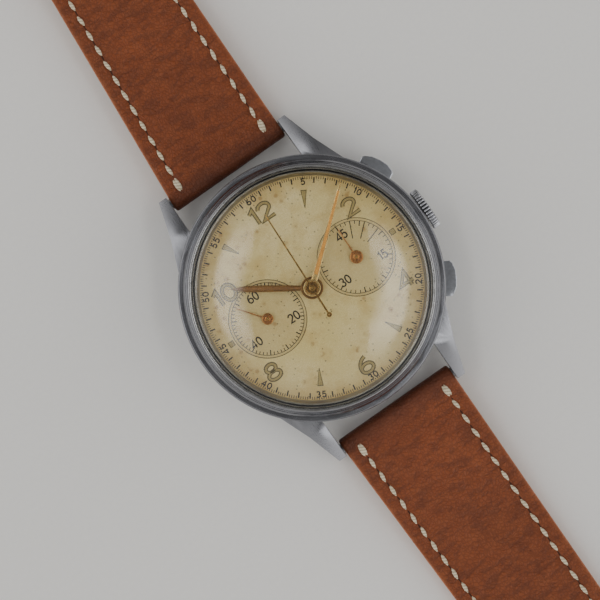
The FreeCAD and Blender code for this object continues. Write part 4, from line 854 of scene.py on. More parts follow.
@dataclass
class FinishBook:
    """Every finish of the watch, made once."""

    case: Finish = field(init=False)
    bezel: Finish = field(init=False)
    lip: Finish = field(init=False)
    ring: Finish = field(init=False)
    back: Finish = field(init=False)
    crown: Finish = field(init=False)
    polished: Finish = field(init=False)
    buckle: Finish = field(init=False)
    inner_steel: Finish = field(init=False)
    spring: Finish = field(init=False)
    blued: Finish = field(init=False)
    plate: Finish = field(init=False)
    brass: Finish = field(init=False)
    gold: Finish = field(init=False)
    bronze: Finish = field(init=False)
    copper: Finish = field(init=False)
    shadow: Finish = field(init=False)
    dial: Finish = field(init=False)
    ink: Finish = field(init=False)
    outline: Finish = field(init=False)
    lume: Finish = field(init=False)
    orange: Finish = field(init=False)
    umber_lume: Finish = field(init=False)
    old_gilt: Finish = field(init=False)
    leather: Finish = field(init=False)
    lining: Finish = field(init=False)
    cut_edge: Finish = field(init=False)
    keeper: Finish = field(init=False)
    thread: Finish = field(init=False)
    needle: Finish = field(init=False)
    acrylic: Finish = field(init=False)
    rubber: Finish = field(init=False)
    card: Finish = field(init=False)

    def __post_init__(self) -> None:
        """Make the finishes."""
        self.case = Metal("case_steel_worn", STEEL, DARK_STAIN, 0.3, Grain.ALONG, 0.004, 0.12).make()
        # The bezel steel is a darker copy of the case steel: painted shade for the bezel's slope.
        self.bezel = Metal("bezel_steel_turned", linear(132, 133, 138), DARK_STAIN, 0.25, Grain.ROUND,
                           0.004, 0.12).make()
        self.lip = Metal("lip_steel_polished", linear(205, 205, 205), DARK_STAIN, 0.14).make()
        self.ring = Metal("ring_steel_aged", linear(150, 146, 132), linear(88, 72, 48), 0.32, Grain.ROUND,
                          0.004, 0.6).make()
        self.back = Metal("back_steel_turned", STEEL, DARK_STAIN, 0.26, Grain.ROUND, 0.004).make()
        self.crown = FlutedMetal("crown_steel", linear(206, 208, 214), DARK_STAIN, 0.2, Grain.ACROSS,
                                 0.003).make()
        self.polished = Metal("push_steel_polished", linear(212, 216, 224), DARK_STAIN, 0.1, Grain.NONE,
                              0.002).make()
        self.buckle = Metal("buckle_steel_polished", linear(196, 198, 202), DARK_STAIN, 0.18, Grain.NONE,
                            0.002).make()
        self.inner_steel = Metal("movement_steel_grained", linear(158, 160, 166), DARK_STAIN, 0.3,
                                 Grain.ALONG, 0.004, 0.15).make()
        self.spring = Metal("spring_steel_drawn", linear(140, 142, 146), DARK_STAIN, 0.3, Grain.UPRIGHT,
                            0.003, 0.2).make()
        self.blued = Metal("blued_steel", linear(42, 60, 132), linear(70, 46, 110), 0.2, Grain.NONE,
                           0.002).make()
        self.plate = Striped("rose_plate_striped", linear(206, 152, 120)).make()
        self.brass = Metal("wheel_brass_grained", linear(214, 170, 92), linear(150, 104, 50), 0.28,
                           Grain.ACROSS, 0.003, 0.25).make()
        self.gold = Metal("hand_gold", GOLD, linear(204, 146, 70), 0.24, Grain.NONE, 0.004, 0.6).make()
        self.old_gilt = Metal("hand_old_gilt", linear(172, 136, 72), linear(84, 60, 28), 0.26, Grain.NONE,
                              0.003, 0.7).make()
        self.bronze = Metal("hand_bronze", linear(150, 112, 60), linear(86, 58, 28), 0.32, Grain.NONE, 0.004,
                            0.6, metallic=0.85).make()
        self.copper = Metal("small_hand_copper", linear(204, 146, 84), linear(140, 92, 46), 0.28, Grain.NONE,
                            0.002, 0.5).make()
        # Painted shadow: a dark brown for the arbor ends that sit inside the hands' hub bores.
        self.shadow = Print("hub_bore_dark", linear(40, 30, 20), linear(90, 64, 34), 0.3).make()
        self.dial = DialPaint().make()
        self.ink = Print("print_black", linear(30, 26, 22), linear(120, 106, 74), 0.35).make()
        self.outline = Print("numeral_outline", linear(84, 74, 44), linear(130, 114, 70), 0.35).make()
        self.lume = Print("lume_olive", linear(160, 142, 86), linear(190, 170, 112), 0.5, 0.8).make()
        self.umber_lume = Print("lume_umber", linear(128, 90, 44), linear(92, 62, 30), 0.6, 0.6).make()
        self.orange = Print("lume_orange", linear(226, 160, 72), linear(172, 112, 44), 0.5, 0.75).make()
        self.leather = Leather("strap_calf", TAN, linear(160, 88, 46), linear(66, 29, 11)).make()
        self.lining = Leather("strap_lining", linear(190, 142, 98), linear(212, 170, 126),
                              linear(140, 96, 60), 2100, 0.02, 0.65).make()
        self.cut_edge = Leather("strap_edge", linear(150, 84, 46), linear(190, 118, 72), linear(84, 40, 18),
                                2600, 0.02, 0.45).make()
        self.keeper = Leather("keeper_calf", scaled(TAN, 0.92), linear(154, 84, 44),
                              linear(64, 28, 11)).make()
        self.thread = Thread().make()
        # Needle holes between the stitches, darkened as painted shadow of the stitch groove.
        self.needle = Print("needle_holes_and_shadow", linear(58, 28, 12), linear(90, 46, 22), 0.3).make()
        self.acrylic = Acrylic().make()
        self.rubber = Rubber().make()
        self.card = PaleCard().make()


# ---------------------------------------------------------------- printing on the dial
def arc(middle: Point2, radii: Point2, start: float, end: float, steps: int = 16) -> list[Point2]:
    """Points along an ellipse's arc.

    Args:
        middle: Centre.
        radii: Half width and half height.
        start: First angle in degrees, anticlockwise from the right.
        end: Last angle in degrees.
        steps: Runs between points.

    Returns:
        The points.
    """
    turns = [math.radians(mixed(start, end, step / steps)) for step in range(steps + 1)]
    return [(middle[0] + radii[0] * math.cos(turn), middle[1] + radii[1] * math.sin(turn)) for turn in turns]


def digit_strokes(digit: str) -> list[list[Point2]]:
    """The pen strokes of a digit one unit high, in a rounded dial-maker's hand."""
    shapes = {
        "0": [arc((0.3, 0.5), (0.29, 0.5), 90, 450, 28)],
        "1": [[(0.1, 0.8), (0.32, 1.0), (0.32, 0.0)]],
        "2": [arc((0.3, 0.71), (0.28, 0.29), 175, -32) + [(0.02, 0.0), (0.6, 0.0)]],
        "3": [arc((0.28, 0.75), (0.25, 0.25), 150, -85), arc((0.28, 0.25), (0.29, 0.25), 85, -150)],
        "4": [[(0.46, 0.0), (0.46, 1.0), (0.0, 0.28), (0.64, 0.28)]],
        "5": [[(0.54, 1.0), (0.13, 1.0), (0.08, 0.55)] + arc((0.28, 0.32), (0.29, 0.32), 130, -150)],
        "6": [arc((0.55, 0.34), (0.54, 0.66), 100, 180, 10) + arc((0.3, 0.29), (0.29, 0.29), 170, -190, 24)],
        "8": [arc((0.3, 0.75), (0.24, 0.25), -90, 270, 24), arc((0.3, 0.26), (0.3, 0.26), 90, 450, 26)],
    }
    return shapes[digit]


@dataclass
class Printing:
    """A thin layer of ink or lume, gathered stroke by stroke."""

    floor: float
    rise: float = 0.015
    points: list[Point3] = field(default_factory=list)
    faces: list[tuple[int, ...]] = field(default_factory=list)

    def stroke(self, line: Sequence[Point2], half: float, floor: Optional[float] = None) -> None:
        """Lay one raised ribbon along a line.

        Args:
            line: Points in millimetres; a line that ends where it starts is closed.
            half: Half the ribbon's width.
            floor: Height it lies on, or the layer's own.
        """
        base = self.floor if floor is None else floor
        closed = math.dist(line[0], line[-1]) < 1e-6
        spots = [Vector(point) for point in (line[:-1] if closed else line)]
        count = len(spots)
        start = len(self.points)
        for place, spot in enumerate(spots):
            before = spots[place - 1] if closed or place else spots[0]
            after = spots[(place + 1) % count] if closed or place < count - 1 else spots[-1]
            arriving, leaving = spot - before, after - spot
            first = arriving.normalized() if arriving.length > 1e-9 else leaving.normalized()
            second = leaving.normalized() if leaving.length > 1e-9 else first
            way = (first + second).normalized() if (first + second).length > 1e-6 else first
            side = Vector((-way.y, way.x))
            lean = max(0.45, side.dot(Vector((-first.y, first.x))))
            for across, up in ((-1, 0.3), (-0.72, 1), (0.72, 1), (1, 0.3)):
                spread = side * across * half / lean
                self.points.append(((spot.x + spread.x) * MM, (spot.y + spread.y) * MM,
                                    (base + self.rise * up) * MM))
        for place in range(count if closed else count - 1):
            one = start + 4 * place
            two = start + 4 * ((place + 1) % count)
            self.faces += [(one + part, one + part + 1, two + part + 1, two + part) for part in range(3)]

    def patch(self, corners: Sequence[Point2], floor: Optional[float] = None) -> None:
        """Lay one flat patch with the given corners, anticlockwise, in millimetres."""
        base = (self.floor if floor is None else floor) + self.rise
        start = len(self.points)
        self.points += [(x * MM, y * MM, base * MM) for x, y in corners]
        self.faces.append(tuple(range(start, start + len(corners))))

    def tick(self, middle: Point2, angle: float, inner: float, outer: float, width: float,
             floor: Optional[float] = None) -> None:
        """Lay a radial mark about a centre at a clockwise angle in degrees."""
        way = compass(angle)
        line = [(middle[0] + way.x * reach, middle[1] + way.y * reach) for reach in (inner, outer)]
        self.stroke(line, width / 2, floor)

    def ring(self, middle: Point2, radius: float, width: float, floor: Optional[float] = None) -> None:
        """Lay a circle."""
        self.stroke(arc(middle, (radius, radius), 0, 360, 160), width / 2, floor)

    def number(self, text: str, middle: Point2, height: float, width: float, up: float = 0,
               gap: float = 0.22, half: float = 0.05, floor: Optional[float] = None) -> None:
        """Write digits centred on a point.

        Args:
            text: The digits.
            middle: Centre in millimetres.
            height: Height of the digits.
            width: Width of a digit against its height, 1 being as drawn.
            up: Clockwise angle in degrees of the digits' tops.
            gap: Space between digits against their height.
            half: Half the pen's width.
            floor: Height it lies on.
        """
        tall = height - 2 * half
        spans = [(0.36 if digit == "1" else 0.6) * width for digit in text]
        total = sum(spans) + gap * (len(text) - 1)
        top = compass(up)
        right = Vector((top.y, -top.x))
        start = -total / 2
        for digit, span in zip(text, spans):
            for line in digit_strokes(digit):
                shown = []
                for x, y in line:
                    along = (start + x * width) * tall
                    rise = (y - 0.5) * tall
                    shown.append((middle[0] + right.x * along + top.x * rise,
                                  middle[1] + right.y * along + top.y * rise))
                self.stroke(shown, half, floor)
            start += span + gap

    def made(self, name: str, material: Finish) -> Obj:
        """Finish the layer as one piece on the case."""
        obj = piece(name, self.points, self.faces)
        flip = [face for face in obj.data.polygons if face.normal.z < 0]
        if flip:
            shape = bmesh.new()
            shape.from_mesh(obj.data)
            shape.faces.ensure_lookup_table()
            bmesh.ops.reverse_faces(shape, faces=[shape.faces[face.index] for face in flip])
            shape.to_mesh(obj.data)
            shape.free()
        return dress(obj, "case", "dial_paint", material)


@dataclass
class DialFace:
    """Everything printed on the dial: minute track, hour numerals, hour marks and both counters."""

    finishes: FinishBook
    top: float = 7.1
    sunk: float = 6.98
    track_inner: float = 14.0
    track_outer: float = 14.75
    minor_inner: float = 14.5
    minor_outer: float = 14.9
    track_number_radius: float = 14.2
    track_number_height: float = 0.92
    hour_height: float = 2.7
    hour_spread: float = 1.38
    hour_radii: tuple[tuple[str, float, float], ...] = (
        ("12", 0, 12.0), ("2", 60, 11.96), ("4", 120, 12.4), ("6", 180, 12.5), ("8", 240, 12.3),
        ("10", 300, 11.75),
    )
    wedge_angles: tuple[float, ...] = (30, 150, 210, 330)
    wedge_inner: float = 10.7
    wedge_outer: float = 13.1
    wedge_width: float = 0.86
    square_radius: float = 13.05
    square_sizes: Point2 = (0.8, 0.6)
    counter_offset: float = 7.2
    counter_number_radius: float = 3.5
    counter_ring: float = 4.85
    counter_border: float = 5.22
    counter_mark_outer: float = 4.82
    counter_mark_inner: float = 4.42
    counter_long_inner: float = 4.15

    def minute_track(self) -> None:
        """Print the outer track with its five-minute numbers."""
        layer = Printing(self.top)
        for minute in range(60):
            angle = minute * 6
            if minute % 5:
                layer.tick((0, 0), angle, self.track_inner, self.track_outer, 0.19)
            else:
                layer.tick((0, 0), angle, self.track_outer - 0.12, self.track_outer + 0.05, 0.16)
                spot = compass(angle) * self.track_number_radius
                inward = 100 < angle < 260
                layer.number(str(minute or 60), tuple(spot), self.track_number_height, 1.15,
                             angle + (180 if inward else 0), 0.36, 0.09)
            for part in range(1, 5):
                layer.tick((0, 0), angle + part * 6 / 5, self.minor_inner, self.minor_outer, 0.095)
        layer.made("minute_track", self.finishes.ink)

    def hour_marks(self) -> None:
        """Lay the lumed hour numerals and wedges, each on its darker outline."""
        outline = Printing(self.top, 0.02)
        lume = Printing(self.top + 0.02, 0.03)
        for text, angle, radius in self.hour_radii:
            spot = tuple(compass(angle) * radius)
            for layer, half in ((outline, 0.28), (lume, 0.14)):
                grown = self.hour_height if half > 0.2 else self.hour_height - 0.3
                layer.number(text, spot, grown, self.hour_spread, 0, 0.24, half)
        for angle in self.wedge_angles:
            for layer, margin in ((outline, 0.0), (lume, 0.12)):
                self.wedge(layer, angle, margin)
        for angle in (90, 270):
            spot = compass(angle) * self.square_radius
            for layer, size in zip((outline, lume), self.square_sizes):
                half = size / 2
                layer.patch([(spot.x + right * half, spot.y + up * half)
                             for right, up in ((-1, -1), (1, -1), (1, 1), (-1, 1))])
        outline.made("hour_outlines", self.finishes.outline)
        lume.made("hour_lume", self.finishes.lume)

    def wedge(self, layer: Printing, angle: float, margin: float) -> None:
        """Lay one inward-pointing wedge, smaller all round by a margin."""
        way = compass(angle)
        side = Vector((-way.y, way.x))
        inner, outer = self.wedge_inner + 3 * margin, self.wedge_outer - margin
        half = self.wedge_width / 2 - margin
        corners = [way * inner + side * 0.05, way * inner - side * 0.05, way * outer - side * half,
                   way * outer + side * half]
        layer.patch([tuple(corner) for corner in corners])

    def counter(self, side: int, numbers: Sequence[tuple[str, float]], marks: int, name: str) -> None:
        """Print one counter.

        Args:
            side: -1 for the seconds on the left, 1 for the minutes on the right.
            numbers: Text and clockwise angle of each number.
            marks: Marks round the counter.
            name: Name of the piece.
        """
        middle = (side * self.counter_offset, 0.0)
        layer = Printing(self.sunk)
        layer.ring(middle, self.counter_ring, 0.08)
        layer.ring(middle, self.counter_border, 0.09, self.top)
        for mark in range(marks):
            long = mark % 5 == 0
            inner = self.counter_long_inner if long else self.counter_mark_inner
            layer.tick(middle, mark * 360 / marks, inner, self.counter_mark_outer, 0.15 if long else 0.11)
        if side > 0:
            for angle in (24, 48, 72):
                layer.tick(middle, angle, 2.5, 4.8, 0.13)
        for text, angle in numbers:
            spot = Vector(middle) + compass(angle) * self.counter_number_radius
            layer.number(text, tuple(spot), 1.3, 0.95, 0, 0.2, 0.1)
        layer.made(name, self.finishes.ink)

    def build(self) -> None:
        """Print the whole dial."""
        coat("dial", self.finishes.dial)
        self.minute_track()
        self.hour_marks()
        self.counter(-1, (("60", 0), ("20", 120), ("40", 240)), 60, "seconds_counter_print")
        self.counter(1, (("45", 0), ("15", 120), ("30", 240)), 45, "minutes_counter_print")


# ---------------------------------------------------------------- hands
@dataclass
class Blade:
    """A hand's blade: a raised rim round a groove, along a clockwise angle on the dial."""

    name: str
    angle: float
    floor: float
    thickness: float
    stations: tuple[tuple[float, float], ...]
    middle: Point2 = (0, 0)
    rim: float = 0.3
    groove: float = 0.35

    def made(self, inset: bool = False) -> Obj:
        """Build the blade, or with inset the filling that lies in its groove."""
        way = compass(self.angle)
        side = Vector((way.y, -way.x))
        points, faces = [], []
        share = 1 - self.rim
        if inset:
            section = [(-share, 0.4), (-share * 0.9, 0.68), (0, 0.8), (share * 0.9, 0.68), (share, 0.4)]
        else:
            deep = 1 - self.groove
            section = [(-0.92, 0), (-1, 0.3), (-1, 0.75), (-0.86, 1), (-share, 0.94), (-share * 0.86, deep),
                       (0, deep + 0.06), (share * 0.86, deep), (share, 0.94), (0.86, 1), (1, 0.75), (1, 0.3),
                       (0.92, 0)]
        for reach, half in self.stations:
            for across, up in section:
                spot = Vector(self.middle) + way * reach + side * across * half
                points.append((spot.x * MM, spot.y * MM, (self.floor + self.thickness * up) * MM))
        width = len(section)
        for place in range(len(self.stations) - 1):
            one, two = place * width, (place + 1) * width
            for part in range(width):
                after = (part + 1) % width
                faces.append((one + part, one + after, two + after, two + part))
        faces.append(tuple(range(width)))
        last = (len(self.stations) - 1) * width
        faces.append(tuple(last + part for part in reversed(range(width))))
        return piece(self.name, points, faces, 30)


def leaf_stations(start: float, length: float, waist: float, belly: float, steps: int = 22) -> tuple:
    """Half widths of a leaf-shaped hand from its waist to its point."""
    rows = []
    for step in range(steps + 1):
        share = step / steps
        swell = math.sin(math.pi * min(1.0, share / 1.12) ** 0.85) ** 0.8 if share > 0 else 0
        half = mixed(waist, belly, swell)
        closing = smoothed((1 - share) / 0.3)
        rows.append((mixed(start, length, share), max(0.02, half * closing)))
    return tuple(rows)


def taper_stations(start: float, length: float, root: float, tip: float, point: float,
                   steps: int = 14) -> tuple:
    """Half widths of a straight hand that narrows evenly and ends in a short point."""
    rows = [(mixed(start, length - point, step / steps), mixed(root, tip, step / steps))
            for step in range(steps + 1)]
    rows += [(length - point * 0.4, tip * 0.55), (length, 0.02)]
    return tuple(rows)


@dataclass
class HandSet:
    """The five hands with their turned hubs."""

    finishes: FinishBook
    hour_angle: float = -56.1
    minute_angle: float = 50.2
    chrono_angle: float = 2.2
    seconds_angle: float = -36.6
    counter_angle: float = 1.1
    counter_offset: float = 7.2
    hour_floor: float = 7.95
    minute_floor: float = 8.5
    chrono_floor: float = 9.1
    small_floor: float = 7.35
    broad: float = 0.18
    slim: float = 0.14

    def hub(self, name: str, bore: float, radius: float, floor: float, thickness: float,
            middle: Point2 = (0, 0), pipe: Optional[Point2] = None) -> Obj:
        """Turn a hub with a rounded rim, a fine groove and, where given, an upstanding pipe.

        Args:
            name: Name of the piece.
            bore: Radius of its hole.
            radius: Outer radius.
            floor: Height of its underside.
            thickness: Height of its rim.
            middle: Place of its axis.
            pipe: Radius and top of the pipe.

        Returns:
            The hub.
        """
        top = floor + thickness
        outline = [(bore, floor), (radius - 0.04, floor), (radius, floor + 0.04), (radius, top - 0.05),
                   (radius - 0.05, top), (radius - 0.14, top + 0.01)]
        inner = pipe[0] if pipe else bore
        for share in (0.72, 0.38):
            groove = mixed(inner, radius, share)
            outline += [(groove + 0.05, top + 0.01), (groove + 0.02, top - 0.06),
                        (groove - 0.02, top - 0.06), (groove - 0.05, top + 0.01)]
        if pipe:
            outline += [(pipe[0] + 0.03, top + 0.01), (pipe[0], top + 0.05), (pipe[0], pipe[1] - 0.05),
                        (pipe[0] - 0.05, pipe[1]), (bore + 0.03, pipe[1]), (bore, pipe[1] - 0.04)]
        else:
            outline += [(bore + 0.03, top), (bore, top - 0.03)]
        return turned(name, outline, 72, middle, 50)

    def joined(self, name: str, parts: Sequence[Obj]) -> Obj:
        """Join parts that share a finish into one piece."""
        shape = bmesh.new()
        for part in parts:
            shape.from_mesh(part.data)
        mesh = bpy.data.meshes.new(name)
        shape.to_mesh(mesh)
        shape.free()
        for part in parts:
            bpy.data.objects.remove(part)
        obj = bpy.data.objects.new(name, mesh)
        bpy.context.scene.collection.objects.link(obj)
        return obj

    def hour(self) -> None:
        """The bronze leaf of the hour hand."""
        floor, thick = self.hour_floor, self.broad
        blade = Blade("hour_leaf", self.hour_angle, floor, thick, leaf_stations(1.3, 11.5, 0.3, 0.45),
                      rim=0.34, groove=0.3)
        leaf = blade.made()
        filling = Blade("hour_hand_filling", self.hour_angle, floor, thick, blade.stations[:-2],
                        rim=0.36).made(True)
        hub = self.hub("hour_hub", 1.0, 1.5, floor, thick)
        dress(self.joined("hour_hand_gilt", [leaf, hub]), "hour_arbor", "hand_gold", self.finishes.bronze,
              stands_for=["hour_hand"])
        dress(filling, "hour_arbor", "hand_gold", self.finishes.umber_lume)

    def minute(self) -> None:
        """The gold minute hand with its lumed groove."""
        floor, thick = self.minute_floor, self.broad
        blade = Blade("minute_blade", self.minute_angle, floor, thick,
                      taper_stations(1.0, 14.4, 0.4, 0.22, 1.1), rim=0.38, groove=0.5)
        shown = blade.made()
        filling = Blade("minute_hand_lume", self.minute_angle, floor, thick, blade.stations[1:-2],
                        rim=0.38).made(True)
        hub = self.hub("minute_hub", 0.7, 1.15, floor, thick)
        dress(self.joined("minute_hand_gilt", [shown, hub]), "centre_arbor", "hand_gold", self.finishes.gold,
              stands_for=["minute_hand"])
        dress(filling, "centre_arbor", "hand_gold", self.finishes.orange)

    def chronograph(self) -> None:
        """The thin centre hand with its tail disc."""
        floor, thick = self.chrono_floor, self.slim
        stations = taper_stations(-4.0, 11.6, 0.13, 0.09, 0.8)
        needle = Blade("chrono_needle", self.chrono_angle, floor, thick, stations, rim=0.5,
                       groove=0.05).made()
        tail = compass(self.chrono_angle) * -4.2
        disc = self.hub("chrono_disc", 0.05, 0.34, floor, thick, tuple(tail))
        hub = self.hub("chrono_hub", 0.16, 0.75, floor, thick, pipe=(0.4, 9.6))
        dress(self.joined("chronograph_hand_gilt", [needle, disc, hub]), "chronograph_arbor", "hand_gold",
              self.finishes.old_gilt, stands_for=["chronograph_hand"])
        # The arbor end sits in the hub's bore and is painted dark as its shadow.
        profile = [(0, 9.2), (0.15, 9.2), (0.15, 9.47), (0.1, 9.5), (0, 9.5)]
        end = turned("chronograph_arbor_end", profile, 24)
        dress(end, "chronograph_arbor", "hand_gold", self.finishes.shadow)

    def small(self, side: int, angle: float, length: float, boss: float, body: str, node: str) -> None:
        """One counter's copper hand.

        Args:
            side: -1 for the left counter, 1 for the right.
            angle: Clockwise angle of the hand.
            length: Reach from the axis.
            boss: Hub radius.
            body: CAD body.
            node: CAD node it stands for.
        """
        middle = (side * self.counter_offset, 0.0)
        floor, thick = self.small_floor, self.slim
        stations = taper_stations(boss * 0.8, length, 0.12, 0.06, 0.5)
        needle = Blade("small_needle", angle, floor, thick, stations, middle, 0.5, 0.05).made()
        hub = self.hub("small_hub", 0.24, boss, floor, thick, middle)
        dress(self.joined(node + "_gilt", [needle, hub]), body, "hand_gold", self.finishes.copper,
              stands_for=[node])
        # The pivot sits in the hub's bore and is painted dark as its shadow.
        profile = [(0, 7.2), (0.2, 7.2), (0.2, 7.36), (0.14, 7.39), (0, 7.39)]
        dress(turned(node + "_pivot", profile, 24, middle), body, "hand_gold", self.finishes.shadow)

    def build(self) -> None:
        """Fit all five hands."""
        self.hour()
        self.minute()
        self.chronograph()
        self.small(-1, self.seconds_angle, 4.75, 0.78, "fourth_arbor", "seconds_hand")
        self.small(1, self.counter_angle, 4.6, 0.9, "counter_arbor", "minute_counter_hand")


# ---------------------------------------------------------------- case, crystal and controls
@dataclass
class Crystal:
    """The domed acrylic crystal and the steel tension ring inside it."""

    finishes: FinishBook
    wall_outer: float = 15.97
    wall_inner: float = 15.54
    foot_radius: float = 16.45
    foot_bottom: float = 7.2
    foot_top: float = 7.82
    shoulder: float = 9.9
    top: float = 12.6
    thickness: float = 1.0
    steps: int = 26

    def dome(self, radius: float, drop: float) -> list[Point2]:
        """Profile of the dome from its middle to a radius, lowered by a drop."""
        rise = self.top - self.shoulder
        curve = (self.wall_outer ** 2 + rise ** 2) / (2 * rise)
        rows = []
        for step in range(self.steps + 1):
            out = radius * step / self.steps
            rows.append((out, self.top - drop - (curve - math.sqrt(curve ** 2 - out ** 2))))
        return rows

    def build(self) -> None:
        """Turn the crystal and finish its ring."""
        outer = self.dome(self.wall_outer - 0.3, 0)
        edge = outer[-1][1]
        rounded = [(self.wall_outer - 0.1, edge - 0.09), (self.wall_outer, edge - 0.3)]
        wall = [(self.wall_outer, self.foot_top + 0.1), (self.wall_outer + 0.04, self.foot_top),
                (self.foot_radius, self.foot_top), (self.foot_radius, self.foot_bottom),
                (self.wall_inner, self.foot_bottom)]
        inner = self.dome(self.wall_inner - 0.25, self.thickness)
        inner_edge = inner[-1][1]
        corner = [(self.wall_inner, inner_edge - 0.35), (self.wall_inner - 0.07, inner_edge - 0.1)]
        profile = outer + rounded + wall + corner + inner[::-1]
        obj = turned("crystal_dome", profile, 192, crease=40)
        dress(obj, "case", "acrylic", self.finishes.acrylic, stands_for=["crystal"])
        ring = softened("crystal_ring", "tension_ring", 0.05)
        dress(ring, "case", "ring_steel", self.finishes.ring)


@dataclass
class WatchCase:
    """Case middle with its lugs, the turned bezel, the back and the spring bars."""

    finishes: FinishBook
    bezel_outer: float = 17.28
    bezel_bottom: float = 7.5
    rim_top: float = 8.0
    crest_radius: float = 16.5
    crest: float = 9.35
    lip_radius: float = 16.0
    groove_depth: float = 0.035
    flange_radius: float = 18.0
    flange_low: float = 6.4
    flange_margin: float = 0.03

    def bezel(self) -> None:
        """Turn the bezel with its fine grooves and polished inner lip."""
        slope = []
        marks = (0.12, 0.3, 0.34, 0.38, 0.62, 0.66, 0.7, 0.9)
        depths = (0, 0, self.groove_depth, 0, 0, self.groove_depth, 0, 0)
        for share, depth in zip(marks, depths):
            slope.append((mixed(self.bezel_outer - 0.05, self.crest_radius, share) - depth,
                          mixed(self.rim_top + 0.06, self.crest, share) - depth))
        profile = [(self.lip_radius, self.bezel_bottom), (self.bezel_outer - 0.06, self.bezel_bottom),
                   (self.bezel_outer, self.bezel_bottom + 0.06), (self.bezel_outer, self.rim_top - 0.04),
                   (self.bezel_outer - 0.03, self.rim_top + 0.03)]
        profile += slope
        lip = [(self.crest_radius - 0.03, self.crest - 0.01), (self.crest_radius - 0.09, self.crest),
               (mixed(self.lip_radius, self.crest_radius, 0.5), self.crest - 0.02),
               (self.lip_radius + 0.08, self.crest - 0.1), (self.lip_radius + 0.01, self.crest - 0.22)]
        obj = turned("bezel_turned", profile + lip, 192, crease=40)
        obj.data.materials.append(self.finishes.bezel)
        obj.data.materials.append(self.finishes.lip)
        limit = (self.crest_radius - 0.02) * MM
        shown = [face.center.xy.length < limit and face.center.z > (self.crest - 0.3) * MM
                 for face in obj.data.polygons]
        dress(obj, "case", "bezel_steel", self.finishes.bezel, self.finishes.lip, stands_for=["bezel"])
        for face, polished in zip(obj.data.polygons, shown):
            face.material_index = int(polished)

    def build(self) -> None:
        """Build the case."""
        middle = softened("case_middle", "case_body", 0.12)
        limit = (self.flange_radius + self.flange_margin) * MM
        # The flange top beside the bezel takes the darker bezel steel, painted shade as on the bezel.
        turned_faces = [face.center.xy.length < limit and face.center.z > self.flange_low * MM
                        for face in middle.data.polygons]
        dress(middle, "case", "case_steel", self.finishes.case, self.finishes.bezel)
        for face, is_turned in zip(middle.data.polygons, turned_faces):
            face.material_index = int(is_turned)
        self.bezel()
        back = softened("case_back", "case_back_snap", 0.08)
        dress(back, "case", "back_steel", self.finishes.back)
        for node in ("spring_bar_upper", "spring_bar_lower"):
            coat(node, self.finishes.spring)
        coat("case_back_gasket", self.finishes.rubber)
        coat("movement_ring", self.finishes.inner_steel)


@dataclass
class Controls:
    """The fluted crown and both push-pieces."""

    finishes: FinishBook
    axis_height: float = 4.4
    crown_near: float = 18.12
    crown_far: float = 19.2
    crown_radius: float = 2.95
    flutes: int = 38
    flute_depth: float = 0.36
    flute_steps: int = 10
    neck_radius: float = 1.7
    neck_near: float = 18.05

    def crown(self) -> Obj:
        """Build the crown: rounded flutes round a cap with a softly domed end, on a plain neck."""
        count = self.flutes * self.flute_steps
        reach = self.crown_far - self.crown_near
        rings = ((0.0, 0.16), (0.06, 0.04), (0.16, 0.0), (reach - 0.2, 0.0), (reach - 0.08, 0.05),
                 (reach - 0.01, 0.2))
        points, faces = [], []
        for along, drop in rings:
            for step in range(count):
                turn = FULL_TURN * step / count
                valley = abs(math.cos(self.flutes * turn / 2)) ** 0.8
                radius = self.crown_radius - drop - self.flute_depth * (1 - valley)
                points.append(self.at(self.crown_near + along, radius, turn))
        for row in range(len(rings) - 1):
            for step in range(count):
                after = (step + 1) % count
                faces.append((row * count + step, row * count + after, (row + 1) * count + after,
                              (row + 1) * count + step))
        start = (len(rings) - 1) * count
        smooth = len(points)
        for radius in (2.2, 1.2):
            points += [self.at(self.crown_far - 0.002, radius, FULL_TURN * step / count)
                       for step in range(count)]
        points.append(self.at(self.crown_far, 0.0, 0.0))
        for one, two in ((start, smooth), (smooth, smooth + count)):
            faces += [(one + step, one + (step + 1) % count, two + (step + 1) % count, two + step)
                      for step in range(count)]
        tip = len(points) - 1
        faces += [(smooth + count + step, smooth + count + (step + 1) % count, tip) for step in range(count)]
        neck = len(points)
        for along in (self.crown_near + 0.01, self.neck_near):
            points += [self.at(along, self.neck_radius, FULL_TURN * step / count) for step in range(count)]
        for one, two in ((0, neck), (neck, neck + count)):
            faces += [(one + (step + 1) % count, one + step, two + step, two + (step + 1) % count)
                      for step in range(count)]
        faces.append(tuple(range(neck + count, neck + 2 * count)))
        return piece("crown_fluted", points, faces, 40)

    def at(self, along: float, radius: float, turn: float) -> Point3:
        """A point about the crown's axis, in metres."""
        return along * MM, radius * math.cos(turn) * MM, (self.axis_height + radius * math.sin(turn)) * MM

    def build(self) -> None:
        """Finish the crown, its stem and the push-pieces."""
        dress(self.crown(), "crown_and_stem", "crown_steel", self.finishes.crown, stands_for=["crown"])
        coat("winding_stem", self.finishes.inner_steel)
        coat("crown_tube", self.finishes.inner_steel)
        coat("pusher_tubes", self.finishes.inner_steel)
        for name in ("start_pusher", "reset_pusher"):
            push = softened(name, name + "_cap", 0.26, 26, 3)
            dress(push, name, "pusher_steel", self.finishes.polished)
            coat(name + "_spring", self.finishes.spring)


